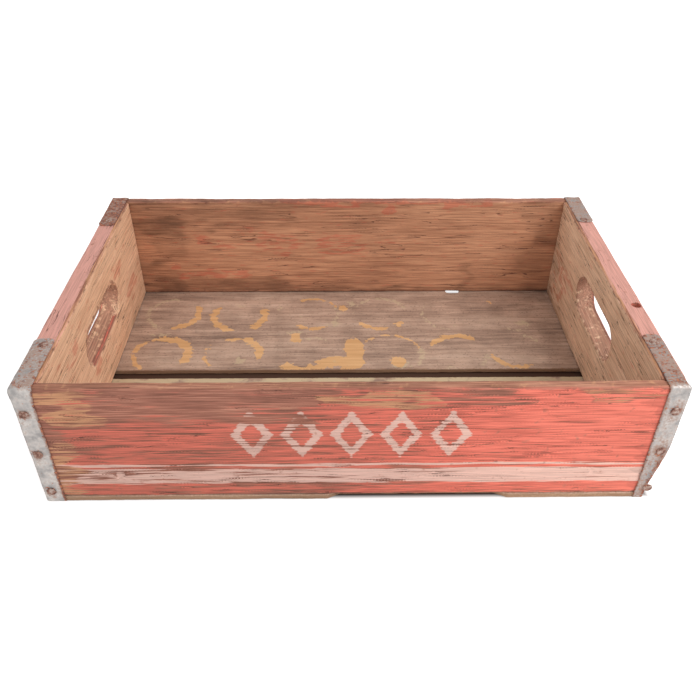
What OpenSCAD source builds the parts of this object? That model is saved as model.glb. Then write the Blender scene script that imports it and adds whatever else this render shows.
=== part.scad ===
// Wooden drinks crate: two long side boards lap the ends of two thick end
// boards, two thin boards close the bottom with a drain gap between them, and a
// bent steel strap is nailed round each corner.
// Origin at the bottom centre, X along the length, Y from front to rear, Z up.

/* [Crate] */
// Length over the end boards
crate_length = 470; // [400:1:560]
// Depth over the side boards
crate_depth = 305; // [260:1:360]
// Height of the side and end boards
board_height = 106; // [90:1:140]

/* [Boards] */
// Thickness of the two long side boards
side_thickness = 9; // [8:0.5:14]
// Thickness of the two end boards
end_thickness = 17.5; // [16:0.5:25]
// Thickness of the two bottom boards
bottom_thickness = 5; // [4:0.5:9]
// Gap between the two bottom boards, where water drains
drain_gap = 12; // [6:1:30]
// Radius of the outer arrises that the straps bend round
outer_arris = 2.5; // [1.5:0.25:3.5]
// Radius of the rubbed top arrises on the inside
inner_arris = 1.5; // [0.5:0.25:3]

/* [Hand holes] */
// Length of each hand hole
hand_length = 104; // [80:1:130]
// Height of each hand hole
hand_height = 34; // [26:1:40]
// Drop from the top edge to the middle of the hand hole
hand_drop = 47; // [40:1:52]
// Distance of the hand hole's middle behind the crate's middle
hand_shift = 3; // [-10:1:10]

/* [Peg hole] */
// Diameter of the hole bored down into the right end board
peg_diameter = 7.6; // [5:0.1:8]
// Depth of the peg hole below the top edge
peg_depth = 25; // [10:1:28]
// Distance of the peg hole's axis from the outer face
peg_inset = 5.6; // [5:0.1:8]
// Distance of the peg hole's axis from the crate's front face
peg_from_front = 104.5; // [80:0.5:130]

/* [Corner straps] */
// Width of the strap
strap_width = 15; // [12:0.5:16]
// Thickness of the strap
strap_thickness = 0.9; // [0.6:0.1:1.6]
// Length of the top tab, from the side board's face
top_tab = 60; // [48:1:66]
// Length of the bottom tab, from the side board's face
bottom_tab = 24; // [20:1:38]
// Corner radius of the tabs' ends
tab_corner = 4; // [1:0.5:6]

/* [Strap nails] */
// Nails in the upright leg of each strap
face_nail_count = 3; // [2:1:4]
// Height of the lowest nail in the leg above the ground
face_nail_low = 12.5; // [10:0.5:20]
// Drop from the boards' top edge to the highest nail in the leg
face_nail_drop = 21.5; // [14:0.5:30]
// Distance of a tab's nail from the end of the tab
tab_nail_margin = 8; // [6:0.5:12]
// Distance across the strap between the leg's nails and the tabs' nails
nail_stagger = 3; // [2.8:0.1:4]
// Diameter of a strap nail's head
head_diameter = 7; // [5:0.25:8]
// Height of a strap nail's head
head_height = 1; // [0.6:0.1:1.6]
// Diameter of a strap nail's shank
shank_diameter = 2.6; // [2:0.1:2.7]
// Length of a strap nail below its head
nail_length = 34; // [28:1:40]

/* [Bottom nails] */
// Nails from each bottom board into each end board
end_nail_count = 3; // [2:1:5]
// Nails along each side board, before any that the breaks took
side_nail_count = 6; // [3:1:8]
// Distance of the outermost end nail from the crate's outer face
end_nail_margin = 40.5; // [38:0.5:50]
// Distance of the innermost end nail from the drain gap
gap_nail_margin = 12; // [6:0.5:30]
// Distance of the outermost side nail from the crate's end
side_nail_margin = 34; // [30:1:60]
// Diameter of a bottom nail's head
pin_head_diameter = 5; // [4:0.25:5.5]
// Depth of a bottom nail's head
pin_head_height = 0.8; // [0.5:0.1:1.2]
// Diameter of a bottom nail's shank
pin_diameter = 2.2; // [1.8:0.1:2.4]
// Length of a bottom nail below its head
pin_length = 24; // [18:1:30]

/* [Breaks] */
// Left end of the strip that broke off the front bottom board
chip_left = -9; // [-60:1:20]
// Right end of the strip that broke off the front bottom board
chip_right = 112; // [60:1:150]
// Width of the strip that broke off
chip_depth = 4.6; // [1:0.1:6]
// Middle of the bite out of the rear bottom board
bite_centre = 115; // [90:1:140]
// Width of the bite at the board's edge
bite_width = 16; // [8:0.5:24]
// Depth of the bite from the board's edge
bite_depth = 11; // [4:0.5:14]

/* [Fits] */
// Radial clearance of every nail in its hole
nail_clearance = 0.05; // [0.02:0.01:0.1]

/* [Hidden] */
$fn = 64;

// Levels, from the ground up
bottom_z = strap_thickness;
board_z = bottom_z + bottom_thickness;
top_z = board_z + board_height;

// Faces
end_x = crate_length / 2;
side_y = crate_depth / 2;
side_inner_y = side_y - side_thickness;
gap_y = drain_gap / 2;

// Strap and nail lines, measured from the middle of the crate
strap_mid_x = end_x - strap_width / 2;
leg_nail_x = strap_mid_x + nail_stagger / 2;
tab_nail_x = strap_mid_x - nail_stagger / 2;
top_nail_y = side_y - top_tab + tab_nail_margin;
bottom_nail_y = side_y - bottom_tab + tab_nail_margin;
face_nail_high = top_z - face_nail_drop;
face_nail_pitch = (face_nail_high - face_nail_low) / (face_nail_count - 1);
face_nail_zs = [for (i = [0 : face_nail_count - 1]) face_nail_low + i * face_nail_pitch];

// Bottom nail lines
end_nail_x = end_x - end_thickness / 2;
end_nail_first = gap_y + gap_nail_margin;
end_nail_last = side_y - end_nail_margin;
end_nail_pitch = (end_nail_last - end_nail_first) / (end_nail_count - 1);
end_nail_ys = [for (i = [0 : end_nail_count - 1]) end_nail_first + i * end_nail_pitch];
side_nail_y = side_y - side_thickness / 2;
side_nail_span = crate_length - 2 * side_nail_margin;
side_nail_pitch = side_nail_span / (side_nail_count - 1);
side_nail_xs = [for (i = [0 : side_nail_count - 1]) i * side_nail_pitch - side_nail_span / 2];

// Breaks: the chip's ends slope by chip_run for each step inwards, and the bite
// narrows by bite_taper on each side
chip_run = 2;
chip_slope = chip_run * chip_depth;
bite_taper = bite_width / 12;

// Room that a bottom nail's head needs beside a break
pin_room = pin_head_diameter / 2 + 0.5;
pin_rim = (side_thickness - pin_head_diameter) / 2;
chip_room = pin_room + max(0, chip_slope - chip_run * pin_rim);
bite_room = pin_room + bite_width / 2;

// Nails that the breaks left in place
front_nail_xs = [for (x = side_nail_xs)
  if (x < chip_left - chip_room || x > chip_right + chip_room) x];
rear_nail_xs = [for (x = side_nail_xs)
  if (abs(x - bite_centre) > bite_room) x];

// Nail points, and how far a cut runs past a face
point_length = 4;
past = 1;

wood_red = [0.80, 0.38, 0.31];
wood_tan = [0.66, 0.50, 0.38];
wood_dark = [0.38, 0.31, 0.26];
strap_grey = [0.60, 0.62, 0.63];
nail_rust = [0.46, 0.34, 0.28];

// Rounds one corner of a flat shape: the corner's tip lies at the origin, the
// shape fills the quarter x < 0, y < 0
module corner_waste(radius) {
  difference() {
    translate([-radius, -radius]) square([radius + past, radius + past]);
    translate([-radius, -radius]) circle(r = radius);
    translate([-radius, -radius - past]) square([past, past]);
  }
}

// Side board in section, outer face on the right at x = 0, foot at y = 0
module side_section() {
  difference() {
    translate([-side_thickness, 0]) square([side_thickness, board_height]);
    translate([0, board_height]) corner_waste(outer_arris);
    translate([-side_thickness, board_height]) mirror([1, 0]) corner_waste(inner_arris);
  }
}

// End board in section, outer face on the right at x = 0, foot at y = 0
module end_section() {
  difference() {
    translate([-end_thickness, 0]) square([end_thickness, board_height]);
    translate([0, board_height]) corner_waste(inner_arris);
    translate([-end_thickness, board_height]) mirror([1, 0]) corner_waste(inner_arris);
  }
}

// Bottom board in section, outer edge on the right at x = 0, underside at y = 0
module bottom_section() {
  width = side_y - gap_y;
  difference() {
    translate([-width, 0]) square([width, bottom_thickness]);
    mirror([0, 1]) corner_waste(outer_arris);
  }
}

// Quarter of a ring, centred on the origin, in the quarter x > 0, y > 0
module quarter_ring(inner, outer) {
  intersection() {
    difference() {
      circle(r = outer);
      circle(r = inner);
    }
    square([outer + past, outer + past]);
  }
}

// Strap in section: leg on the right, tabs over the top and under the bottom
module strap_section() {
  outer = outer_arris + strap_thickness;
  top_length = top_tab - outer_arris;
  bottom_length = bottom_tab - outer_arris;
  leg_low = bottom_z + outer_arris;
  leg_high = top_z - outer_arris;
  translate([0, leg_low]) square([strap_thickness, leg_high - leg_low]);
  translate([-top_tab, top_z]) square([top_length, strap_thickness]);
  translate([-bottom_tab, 0]) square([bottom_length, strap_thickness]);
  translate([-outer_arris, leg_high]) quarter_ring(outer_arris, outer);
  translate([-outer_arris, leg_low]) mirror([0, 1]) quarter_ring(outer_arris, outer);
}

// A section drawn in x and y becomes a bar that runs along X, its x towards +Y
module along_x(length) {
  translate([-length / 2, 0, 0])
    rotate([90, 0, 90])
      linear_extrude(height = length) children();
}

// A section drawn in x and y becomes a bar that runs along Y, its x towards +X
module along_y(length) {
  translate([0, length / 2, 0])
    rotate([90, 0, 0])
      linear_extrude(height = length) children();
}

// Shank with a point, from the origin down along -Z
module shank(diameter, length, grow) {
  translate([0, 0, point_length - length])
    cylinder(h = length - point_length, d = diameter + 2 * grow);
  translate([0, 0, -length])
    cylinder(h = point_length, d1 = 2 * grow, d2 = diameter + 2 * grow);
}

// Round-headed strap nail, head seated at the origin, driven along -Z
module strap_nail() {
  rim = 0.6 * head_height;
  cylinder(h = rim, d = head_diameter);
  translate([0, 0, rim])
    cylinder(h = head_height - rim, d1 = head_diameter, d2 = head_diameter - 1.2);
  shank(shank_diameter, nail_length, 0);
}

module strap_nail_hole() {
  translate([0, 0, past]) shank(shank_diameter, nail_length + past, nail_clearance);
}

// Flat-headed nail for the bottom tab, its head sunk flush in the strap
module flush_head(grow) {
  translate([0, 0, -strap_thickness])
    cylinder(h = strap_thickness, d1 = shank_diameter + 2 * grow, d2 = head_diameter + 2 * grow);
}

module flush_nail() {
  flush_head(0);
  translate([0, 0, -strap_thickness]) shank(shank_diameter, nail_length, 0);
}

module flush_nail_hole() {
  flush_head(nail_clearance);
  translate([0, 0, -strap_thickness]) shank(shank_diameter, nail_length, nail_clearance);
}

// Bottom nail, head flush at the origin, driven along -Z
module pin_nail() {
  translate([0, 0, -pin_head_height]) cylinder(h = pin_head_height, d = pin_head_diameter);
  translate([0, 0, -pin_head_height]) shank(pin_diameter, pin_length, 0);
}

module pin_nail_hole() {
  translate([0, 0, -pin_head_height])
    cylinder(h = pin_head_height + past, d = pin_head_diameter + 2 * nail_clearance);
  translate([0, 0, -pin_head_height]) shank(pin_diameter, pin_length, nail_clearance);
}

// Places for a corner given by its signs: x = -1 left, 1 right; y = -1 front, 1 rear
module at_face_nails(sx, sy) {
  for (z = face_nail_zs)
    translate([sx * leg_nail_x, sy * (side_y + strap_thickness), z])
      rotate([-90 * sy, 0, 0]) children();
}

module at_top_nail(sx, sy) {
  translate([sx * tab_nail_x, sy * top_nail_y, top_z + strap_thickness]) children();
}

module at_bottom_nail(sx, sy) {
  translate([sx * tab_nail_x, sy * bottom_nail_y, 0]) rotate([180, 0, 0]) children();
}

module at_end_pins(sx) {
  for (sy = [-1, 1])
    for (y = end_nail_ys)
      translate([sx * end_nail_x, sy * y, bottom_z]) rotate([180, 0, 0]) children();
}

module at_side_pins(sy) {
  for (x = sy < 0 ? front_nail_xs : rear_nail_xs)
    translate([x, sy * side_nail_y, bottom_z]) rotate([180, 0, 0]) children();
}

// Holes for all the nails that pass through or into a corner
module corner_holes(sx, sy) {
  at_face_nails(sx, sy) strap_nail_hole();
  at_top_nail(sx, sy) strap_nail_hole();
  at_bottom_nail(sx, sy) flush_nail_hole();
}

// Parts
module side_board(sy) {
  color(wood_red)
    difference() {
      translate([0, sy * side_y, board_z])
        mirror([0, sy < 0 ? 1 : 0, 0]) along_x(crate_length) side_section();
      for (sx = [-1, 1]) corner_holes(sx, sy);
      at_side_pins(sy) pin_nail_hole();
    }
}

module hand_hole(sx) {
  reach = (hand_length - hand_height) / 2;
  translate([sx * (end_x - end_thickness / 2), hand_shift, top_z - hand_drop])
    rotate([90, 0, 90])
      linear_extrude(height = end_thickness + 2 * past, center = true) {
        for (side = [-1, 1]) translate([side * reach, 0]) circle(d = hand_height);
        square([2 * reach, hand_height], center = true);
      }
}

module peg_hole() {
  translate([end_x - peg_inset, peg_from_front - side_y, top_z - peg_depth])
    cylinder(h = peg_depth + past, d = peg_diameter);
}

module end_board(sx) {
  color(wood_tan)
    difference() {
      translate([sx * end_x, 0, board_z])
        mirror([sx < 0 ? 1 : 0, 0, 0]) along_y(2 * side_inner_y) end_section();
      hand_hole(sx);
      for (sy = [-1, 1]) corner_holes(sx, sy);
      at_end_pins(sx) pin_nail_hole();
      if (sx > 0) peg_hole();
    }
}

// Strip that broke off the front bottom board's edge
module chip() {
  translate([0, -side_y, bottom_z - past])
    linear_extrude(height = bottom_thickness + 2 * past)
      polygon([
        [chip_left - chip_slope, -past],
        [chip_left - chip_slope, 0],
        [chip_left, chip_depth],
        [chip_right, chip_depth],
        [chip_right + chip_slope, 0],
        [chip_right + chip_slope, -past]
      ]);
}

// Bite out of the rear bottom board's edge
module bite() {
  translate([bite_centre, side_y, bottom_z - past])
    linear_extrude(height = bottom_thickness + 2 * past)
      polygon([
        [-bite_width / 2, past],
        [-bite_width / 2, 0],
        [bite_taper - bite_width / 2, -bite_depth],
        [bite_width / 2 - bite_taper, -bite_depth],
        [bite_width / 2, 0],
        [bite_width / 2, past]
      ]);
}

module bottom_board(sy) {
  color(wood_dark)
    difference() {
      translate([0, sy * side_y, bottom_z])
        mirror([0, sy < 0 ? 1 : 0, 0]) along_x(crate_length) bottom_section();
      for (sx = [-1, 1]) {
        at_bottom_nail(sx, sy) flush_nail_hole();
        at_end_pins(sx) pin_nail_hole();
      }
      at_side_pins(sy) pin_nail_hole();
      if (sy < 0) chip();
      if (sy > 0) bite();
    }
}

// Waste outside the rounded end of a tab, its end at y = 0 and the tab at y > 0
module tab_end_waste() {
  for (side = [-1, 1])
    mirror([side < 0 ? 1 : 0, 0])
      translate([strap_width / 2, 0]) mirror([0, 1]) corner_waste(tab_corner);
}

module strap(sx, sy) {
  color(strap_grey)
    difference() {
      translate([sx * strap_mid_x, sy * side_y, 0])
        mirror([0, sy < 0 ? 1 : 0, 0]) along_x(strap_width) strap_section();
      translate([sx * strap_mid_x, sy * (side_y - top_tab), top_z - past])
        mirror([0, sy < 0 ? 1 : 0, 0])
          linear_extrude(height = strap_thickness + 2 * past) tab_end_waste();
      translate([sx * strap_mid_x, sy * (side_y - bottom_tab), -past])
        mirror([0, sy < 0 ? 1 : 0, 0])
          linear_extrude(height = strap_thickness + 2 * past) tab_end_waste();
      corner_holes(sx, sy);
    }
}

module face_nails(sx, sy) {
  color(nail_rust) at_face_nails(sx, sy) strap_nail();
}

module top_nail(sx, sy) {
  color(nail_rust) at_top_nail(sx, sy) strap_nail();
}

module bottom_nail(sx, sy) {
  color(nail_rust) at_bottom_nail(sx, sy) flush_nail();
}

module end_pins(sx) {
  color(nail_rust) at_end_pins(sx) pin_nail();
}

module side_pins(sy) {
  color(nail_rust) at_side_pins(sy) pin_nail();
}

side_board(-1);  // front_side_board
side_board(1);  // rear_side_board
end_board(-1);  // left_end_board
end_board(1);  // right_end_board
bottom_board(-1);  // front_bottom_board
bottom_board(1);  // rear_bottom_board
strap(-1, -1);  // strap_front_left
strap(1, -1);  // strap_front_right
strap(-1, 1);  // strap_rear_left
strap(1, 1);  // strap_rear_right
face_nails(-1, -1);  // face_nails_front_left
face_nails(1, -1);  // face_nails_front_right
face_nails(-1, 1);  // face_nails_rear_left
face_nails(1, 1);  // face_nails_rear_right
top_nail(-1, -1);  // top_nail_front_left
top_nail(1, -1);  // top_nail_front_right
top_nail(-1, 1);  // top_nail_rear_left
top_nail(1, 1);  // top_nail_rear_right
bottom_nail(-1, -1);  // bottom_nail_front_left
bottom_nail(1, -1);  // bottom_nail_front_right
bottom_nail(-1, 1);  // bottom_nail_rear_left
bottom_nail(1, 1);  // bottom_nail_rear_right
end_pins(-1);  // floor_nails_left_end
end_pins(1);  // floor_nails_right_end
side_pins(-1);  // floor_nails_front_side
side_pins(1);  // floor_nails_rear_side
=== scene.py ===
# %% [markdown]
# # Dressing a wooden drinks crate
# Six nailed boards make this crate: two painted sides, two thick ends with hand holes, and two thin
# bottom boards with a drain gap between them. Four bent steel straps bind the corners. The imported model
# gives each piece its true size and place, so the work here is the look: worn edges, raised grain, old
# paint and rust. The model is loaded first, and its box is kept to compare with the dressed crate.

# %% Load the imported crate
import math
import bmesh
import bpy
import numpy as np
from mathutils import Matrix, Vector, kdtree, noise
from mathutils.geometry import delaunay_2d_cdt


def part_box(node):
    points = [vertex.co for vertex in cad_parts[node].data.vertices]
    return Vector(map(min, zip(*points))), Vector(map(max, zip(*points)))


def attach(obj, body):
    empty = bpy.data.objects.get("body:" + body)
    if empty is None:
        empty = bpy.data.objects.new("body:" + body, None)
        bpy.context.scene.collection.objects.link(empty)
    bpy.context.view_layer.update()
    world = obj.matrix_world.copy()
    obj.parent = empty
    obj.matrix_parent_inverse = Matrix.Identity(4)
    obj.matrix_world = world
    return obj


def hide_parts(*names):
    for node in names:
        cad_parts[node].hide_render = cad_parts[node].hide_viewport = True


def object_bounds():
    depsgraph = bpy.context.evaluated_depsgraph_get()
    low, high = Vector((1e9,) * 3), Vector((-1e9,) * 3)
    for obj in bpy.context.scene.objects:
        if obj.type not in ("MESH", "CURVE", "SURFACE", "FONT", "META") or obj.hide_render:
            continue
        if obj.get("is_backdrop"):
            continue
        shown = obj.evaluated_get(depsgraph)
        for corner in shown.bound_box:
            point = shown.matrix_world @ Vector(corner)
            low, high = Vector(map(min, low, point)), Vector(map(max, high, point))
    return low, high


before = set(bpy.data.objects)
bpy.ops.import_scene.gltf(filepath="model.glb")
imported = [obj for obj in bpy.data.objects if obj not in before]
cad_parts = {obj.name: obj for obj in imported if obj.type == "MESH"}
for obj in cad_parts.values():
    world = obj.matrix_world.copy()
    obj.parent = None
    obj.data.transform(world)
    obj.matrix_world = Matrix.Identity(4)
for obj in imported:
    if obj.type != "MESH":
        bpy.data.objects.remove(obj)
cad_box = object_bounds()
MM = 0.001
scene = bpy.context.scene
scene.view_settings.view_transform = "Standard"
print("nodes in the packed crate:", len(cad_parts))


def box_mm(node):
    """A node's lowest and highest corner in millimetres."""
    low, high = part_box(node)
    return np.array(low) / MM, np.array(high) / MM


# %% [markdown]
# ## The camera
# The camera stands a little above the crate and straight in front of it. The picture's vanishing points
# give the focal length in pixels, the tilt and the place of the lens. A camera matrix made from three
# arrows (right, up, back) is safer than stacked rotations, and the small upward shift stands for the
# cropping of the picture: the optical axis meets it below its middle row.

# %% Place the camera
PICTURE_PX = 700
FOCAL_PX = 736.2
AXIS_ROW_PX = 378.8
SENSOR_MM = 36.0
EYE_MM = (-8.2, -543.0, 431.2)
PITCH, YAW, ROLL = math.radians(38.50), math.radians(1.01), math.radians(-0.35)

forward = Vector((math.sin(YAW) * math.cos(PITCH), math.cos(YAW) * math.cos(PITCH), -math.sin(PITCH)))
level = Vector((math.cos(YAW), -math.sin(YAW), 0.0))
upward = level.cross(forward)
right_arrow = level * math.cos(ROLL) - upward * math.sin(ROLL)
up_arrow = level * math.sin(ROLL) + upward * math.cos(ROLL)

camera_data = bpy.data.cameras.new("camera")
camera_data.sensor_width = SENSOR_MM
camera_data.lens = FOCAL_PX * SENSOR_MM / PICTURE_PX
camera_data.shift_y = (AXIS_ROW_PX - PICTURE_PX / 2) / PICTURE_PX
camera_data.clip_start = 0.01
camera = bpy.data.objects.new("camera", camera_data)
turn = Matrix((right_arrow, up_arrow, -forward)).transposed().to_4x4()
camera.matrix_world = Matrix.Translation(Vector(EYE_MM) * MM) @ turn
scene.collection.objects.link(camera)
scene.camera = camera
print("lens", round(camera_data.lens, 2), "mm")

# %% [markdown]
# ## Writing nodes in short lines
# Materials and Geometry Nodes are both trees of nodes. Clicking them together hides the idea, so a small
# bench class adds nodes with one call each. The same words then work in a material and in a geometry
# tree, and that is the trick of this crate: the noise that cuts the cracks into the mesh is the very
# noise that darkens them in the colour.

# %% A bench for nodes
def srgb(red, green, blue):
    """A colour in screen values from 0 to 255, as the linear colour that nodes take."""
    parts = [value / 255 for value in (red, green, blue)]
    return (*[p / 12.92 if p <= 0.04045 else ((p + 0.055) / 1.055) ** 2.4 for p in parts], 1.0)


class Bench:
    """Adds nodes to one tree. An input takes a number, a colour or another node's output."""

    def __init__(self, tree, run="x"):
        self.tree = tree
        self.run = run

    def put(self, kind, inputs, output=0, **settings):
        node = self.tree.nodes.new(kind)
        for name, value in settings.items():
            setattr(node, name, value)
        for slot, value in inputs.items():
            if isinstance(value, bpy.types.NodeSocket):
                self.tree.links.new(value, node.inputs[slot])
            else:
                node.inputs[slot].default_value = value
        return node.outputs[output]

    def math(self, operation, first, second=0.0, third=0.0):
        return self.put("ShaderNodeMath", {0: first, 1: second, 2: third}, operation=operation)

    def add(self, first, second):
        return self.math("ADD", first, second)

    def times(self, first, second):
        return self.math("MULTIPLY", first, second)

    def step(self, value, low, high, start=0.0, end=1.0):
        """start up to low, end from high on, and a smooth change between."""
        inputs = {0: value, 1: low, 2: high, 3: start, 4: end}
        return self.put("ShaderNodeMapRange", inputs, interpolation_type="SMOOTHSTEP")

    def tint(self, share, under, over):
        return self.put("ShaderNodeMix", {0: share, 6: under, 7: over}, output=2, data_type="RGBA")

    def dim(self, colour, amount):
        return self.put("ShaderNodeVectorMath", {0: colour, "Scale": amount}, operation="SCALE")

    def mark(self, name):
        """A value that the mesh carries at each of its points."""
        return self.put("ShaderNodeAttribute", {}, output=2, attribute_name=name)

    def ramp(self, value, stops):
        socket = self.put("ShaderNodeValToRGB", {0: value})
        elements = socket.node.color_ramp.elements
        for _ in stops[2:]:
            elements.new(0.5)
        for element, (position, colour) in zip(elements, stops):
            element.position = position
            element.color = colour
        return socket

    def grain(self, place, along, across, seed, detail=2.0, rough=0.55):
        """Noise drawn out along the board: its marks are about along by across millimetres."""
        sizes = {"x": (along, across, across), "y": (across, along, across)}[self.run]
        shares = [1 / (size * MM) for size in sizes]
        shift = (seed * 7.3, seed * 3.1, seed * 5.7)
        moved = self.put("ShaderNodeVectorMath", {0: place, 1: shares, 2: shift}, operation="MULTIPLY_ADD")
        inputs = {"Vector": moved, "Scale": 1.0, "Detail": detail, "Roughness": rough}
        return self.put("ShaderNodeTexNoise", inputs)

    def speck(self, place, size, seed, detail=1.0, rough=0.5):
        """Noise without a direction."""
        return self.grain(place, size, size, seed, detail, rough)


def new_material(name):
    """An empty material: its tree, and the node that its shader goes into."""
    material = bpy.data.materials.new(name)
    material.use_nodes = True
    material.node_tree.nodes.clear()
    output = material.node_tree.nodes.new("ShaderNodeOutputMaterial")
    return material, output


# %% [markdown]
# ## Floor, world and lamps
# A studio picture on white paper has a background that is brighter than white and a thin shadow along
# the object's foot. Real light strong enough for that would bleach the crate. So the floor adds a glow
# that only camera, mirror and glass rays see, and its plain matt part still takes the shadow. The glow
# stops under the crate. There the matt colour is painted dark brown, a painted shadow for the paper
# below the drain gap, which lies in the dark.

# %% Make the floor
FLOOR_HALF_MM = 4000
FLOOR_WHITE = 0.78
FLOOR_GLOW = 0.62
# A painted shadow: the dark matt colour of the floor under the crate.
FLOOR_PAINTED_SHADOW = srgb(84, 62, 52)
foot_high = np.array(cad_box[1]) / MM


def seen_directly(bench):
    """1 for rays that show a background: from the camera, a mirror or glass."""
    path = bench.tree.nodes.new("ShaderNodeLightPath")
    seen = bench.add(path.outputs["Is Camera Ray"], path.outputs["Is Glossy Ray"])
    seen = bench.add(seen, path.outputs["Is Transmission Ray"])
    return bench.math("MINIMUM", seen, 1.0)


def floor_material():
    material, output = new_material("white_floor_with_painted_shadow")
    bench = Bench(material.node_tree)
    place = bench.put("ShaderNodeTexCoord", {}, output=3)
    parts = bench.put("ShaderNodeSeparateXYZ", {0: place}).node.outputs
    beside = bench.step(bench.math("ABSOLUTE", parts[0]), (foot_high[0] - 6) * MM, (foot_high[0] + 1) * MM)
    before = bench.step(bench.math("ABSOLUTE", parts[1]), (foot_high[1] - 8) * MM, (foot_high[1] - 1) * MM)
    outside = bench.math("MAXIMUM", beside, before)
    glow = bench.times(bench.times(seen_directly(bench), outside), FLOOR_GLOW)
    # Under the crate the floor's matt colour is the painted shadow; beyond it the floor is white.
    white = bench.tint(outside, FLOOR_PAINTED_SHADOW, (FLOOR_WHITE, FLOOR_WHITE, FLOOR_WHITE, 1))
    matt = bench.put("ShaderNodeBsdfDiffuse", {"Color": white})
    light = bench.put("ShaderNodeEmission", {"Strength": glow})
    both = bench.put("ShaderNodeAddShader", {0: matt, 1: light})
    bench.tree.links.new(both, output.inputs["Surface"])
    return material


half = FLOOR_HALF_MM * MM
floor_mesh = bpy.data.meshes.new("floor")
corners = [(-half, -half, 0), (half, -half, 0), (half, half, 0), (-half, half, 0)]
floor_mesh.from_pydata(corners, [], [(0, 1, 2, 3)])
floor_mesh.materials.append(floor_material())
floor = bpy.data.objects.new("floor", floor_mesh)
scene.collection.objects.link(floor)
floor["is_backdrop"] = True
print("floor", 2 * half, "m wide")

# %% Light the studio
SKY_STRENGTH = 0.62
KEY_PLACE_MM = (1000, -760, 1150)
KEY_AIM_MM = (0, 0, 60)
KEY_SIZE_MM, KEY_WATTS = 700, 13.0
FILL_TOWARDS, FILL_STRENGTH, FILL_SPREAD = (0.45, 0.75, -0.6), 0.5, 80


def light_world():
    world = bpy.data.worlds.new("studio")
    world.use_nodes = True
    bench = Bench(world.node_tree)
    seen = seen_directly(bench)
    background = world.node_tree.nodes["Background"]
    background.inputs["Color"].default_value = (1, 1, 1, 1)
    bench.tree.links.new(bench.step(seen, 0, 1, SKY_STRENGTH, 1.0), background.inputs["Strength"])
    scene.world = world


def hang_lamp(data, place, towards):
    lamp = bpy.data.objects.new(data.name, data)
    lamp.location = place
    lamp.rotation_mode = "QUATERNION"
    lamp.rotation_quaternion = towards.to_track_quat("-Z", "Y")
    scene.collection.objects.link(lamp)


light_world()
key = bpy.data.lights.new("soft_box", "AREA")
key.size = KEY_SIZE_MM * MM
key.energy = KEY_WATTS
hang_lamp(key, Vector(KEY_PLACE_MM) * MM, Vector(KEY_AIM_MM) - Vector(KEY_PLACE_MM))
fill = bpy.data.lights.new("fill", "SUN")
fill.energy = FILL_STRENGTH
fill.angle = math.radians(FILL_SPREAD)
hang_lamp(fill, Vector((0, 0, 1)), Vector(FILL_TOWARDS))
print("soft box", KEY_WATTS, "W, fill", FILL_STRENGTH, ", sky", SKY_STRENGTH)

# %% [markdown]
# ## Boards as meshes
# A board could be a box with a bevel, but an old board has no straight edge left: its arrises are
# rubbed round by different amounts and its corners are chipped. So each board is drawn as an outline
# (with its holes), cut into short steps, and worn inwards by noise. Rings of points carry the outline
# round the arris, across the thickness and round the other arris. The two faces are filled with a net
# of points that is long along the grain and fine across it, where the relief changes quickly. Wear only
# ever takes wood away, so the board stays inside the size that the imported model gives.

# %% Draw outlines
def rounded(corners, closed=True):
    """A line through corners (u, v, radius), with an arc of that radius in place of each corner."""
    line = []
    count = len(corners)
    for i, (u, v, radius) in enumerate(corners):
        here = np.array((u, v), float)
        if radius == 0:
            line.append(here)
            continue
        back = np.array(corners[i - 1][:2], float) - here
        ahead = np.array(corners[(i + 1) % count][:2], float) - here
        back /= np.hypot(*back)
        ahead /= np.hypot(*ahead)
        half_angle = math.acos(np.clip(back @ ahead, -1, 1)) / 2
        middle = back + ahead
        centre = here + middle / np.hypot(*middle) * radius / math.sin(half_angle)
        start = here + back * radius / math.tan(half_angle) - centre
        end = here + ahead * radius / math.tan(half_angle) - centre
        sweep = math.pi - 2 * half_angle
        sweep = sweep if start[0] * end[1] - start[1] * end[0] > 0 else -sweep
        for share in np.linspace(0, 1, 9):
            c, s = math.cos(sweep * share), math.sin(sweep * share)
            line.append(centre + np.array((c * start[0] - s * start[1], s * start[0] + c * start[1])))
    return np.array(line + ([line[0]] if closed else []))


def lengths_along(line):
    """The distance from the line's start to each of its points."""
    return np.concatenate([[0.0], np.cumsum(np.hypot(*np.diff(line, axis=0).T))])


def cut_evenly(line, pitch):
    """The points of a closed line, moved to equal steps near the pitch."""
    run = lengths_along(line)
    at = np.linspace(0, run[-1], max(12, round(run[-1] / pitch)), endpoint=False)
    return np.column_stack([np.interp(at, run, line[:, k]) for k in (0, 1)])


def left_of(loop):
    """For each point of a closed loop, the arrow to its left. The wood is kept on that side."""
    along = np.roll(loop, -1, axis=0) - np.roll(loop, 1, axis=0)
    across = np.column_stack([-along[:, 1], along[:, 0]])
    return across / np.hypot(*across.T)[:, None]


def rough(points, size, seed):
    """Smooth noise from 0 to 1 at each point, with features of about that size."""
    return np.array([0.5 + 0.5 * noise.noise(Vector((*(p / size), seed))) for p in points])


# %% Fill a face with a net of points
def is_inside(points, loops):
    """Which points lie in the wood: inside the outline and outside the holes."""
    odd = np.zeros(len(points), bool)
    for loop in loops:
        after = np.roll(loop, -1, axis=0)
        for (u0, v0), (u1, v1) in zip(loop, after):
            if v0 == v1:
                continue
            spans = (v0 > points[:, 1]) != (v1 > points[:, 1])
            odd ^= spans & (points[:, 0] < (u1 - u0) * (points[:, 1] - v0) / (v1 - v0) + u0)
    return odd


def gap_to(points, loops):
    """The distance from each point to the nearest point of the loops."""
    edge = np.vstack(loops)
    tree = kdtree.KDTree(len(edge))
    for i, (u, v) in enumerate(edge):
        tree.insert((u, v, 0.0), i)
    tree.balance()
    return np.array([tree.find((u, v, 0.0))[2] for u, v in points])


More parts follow.
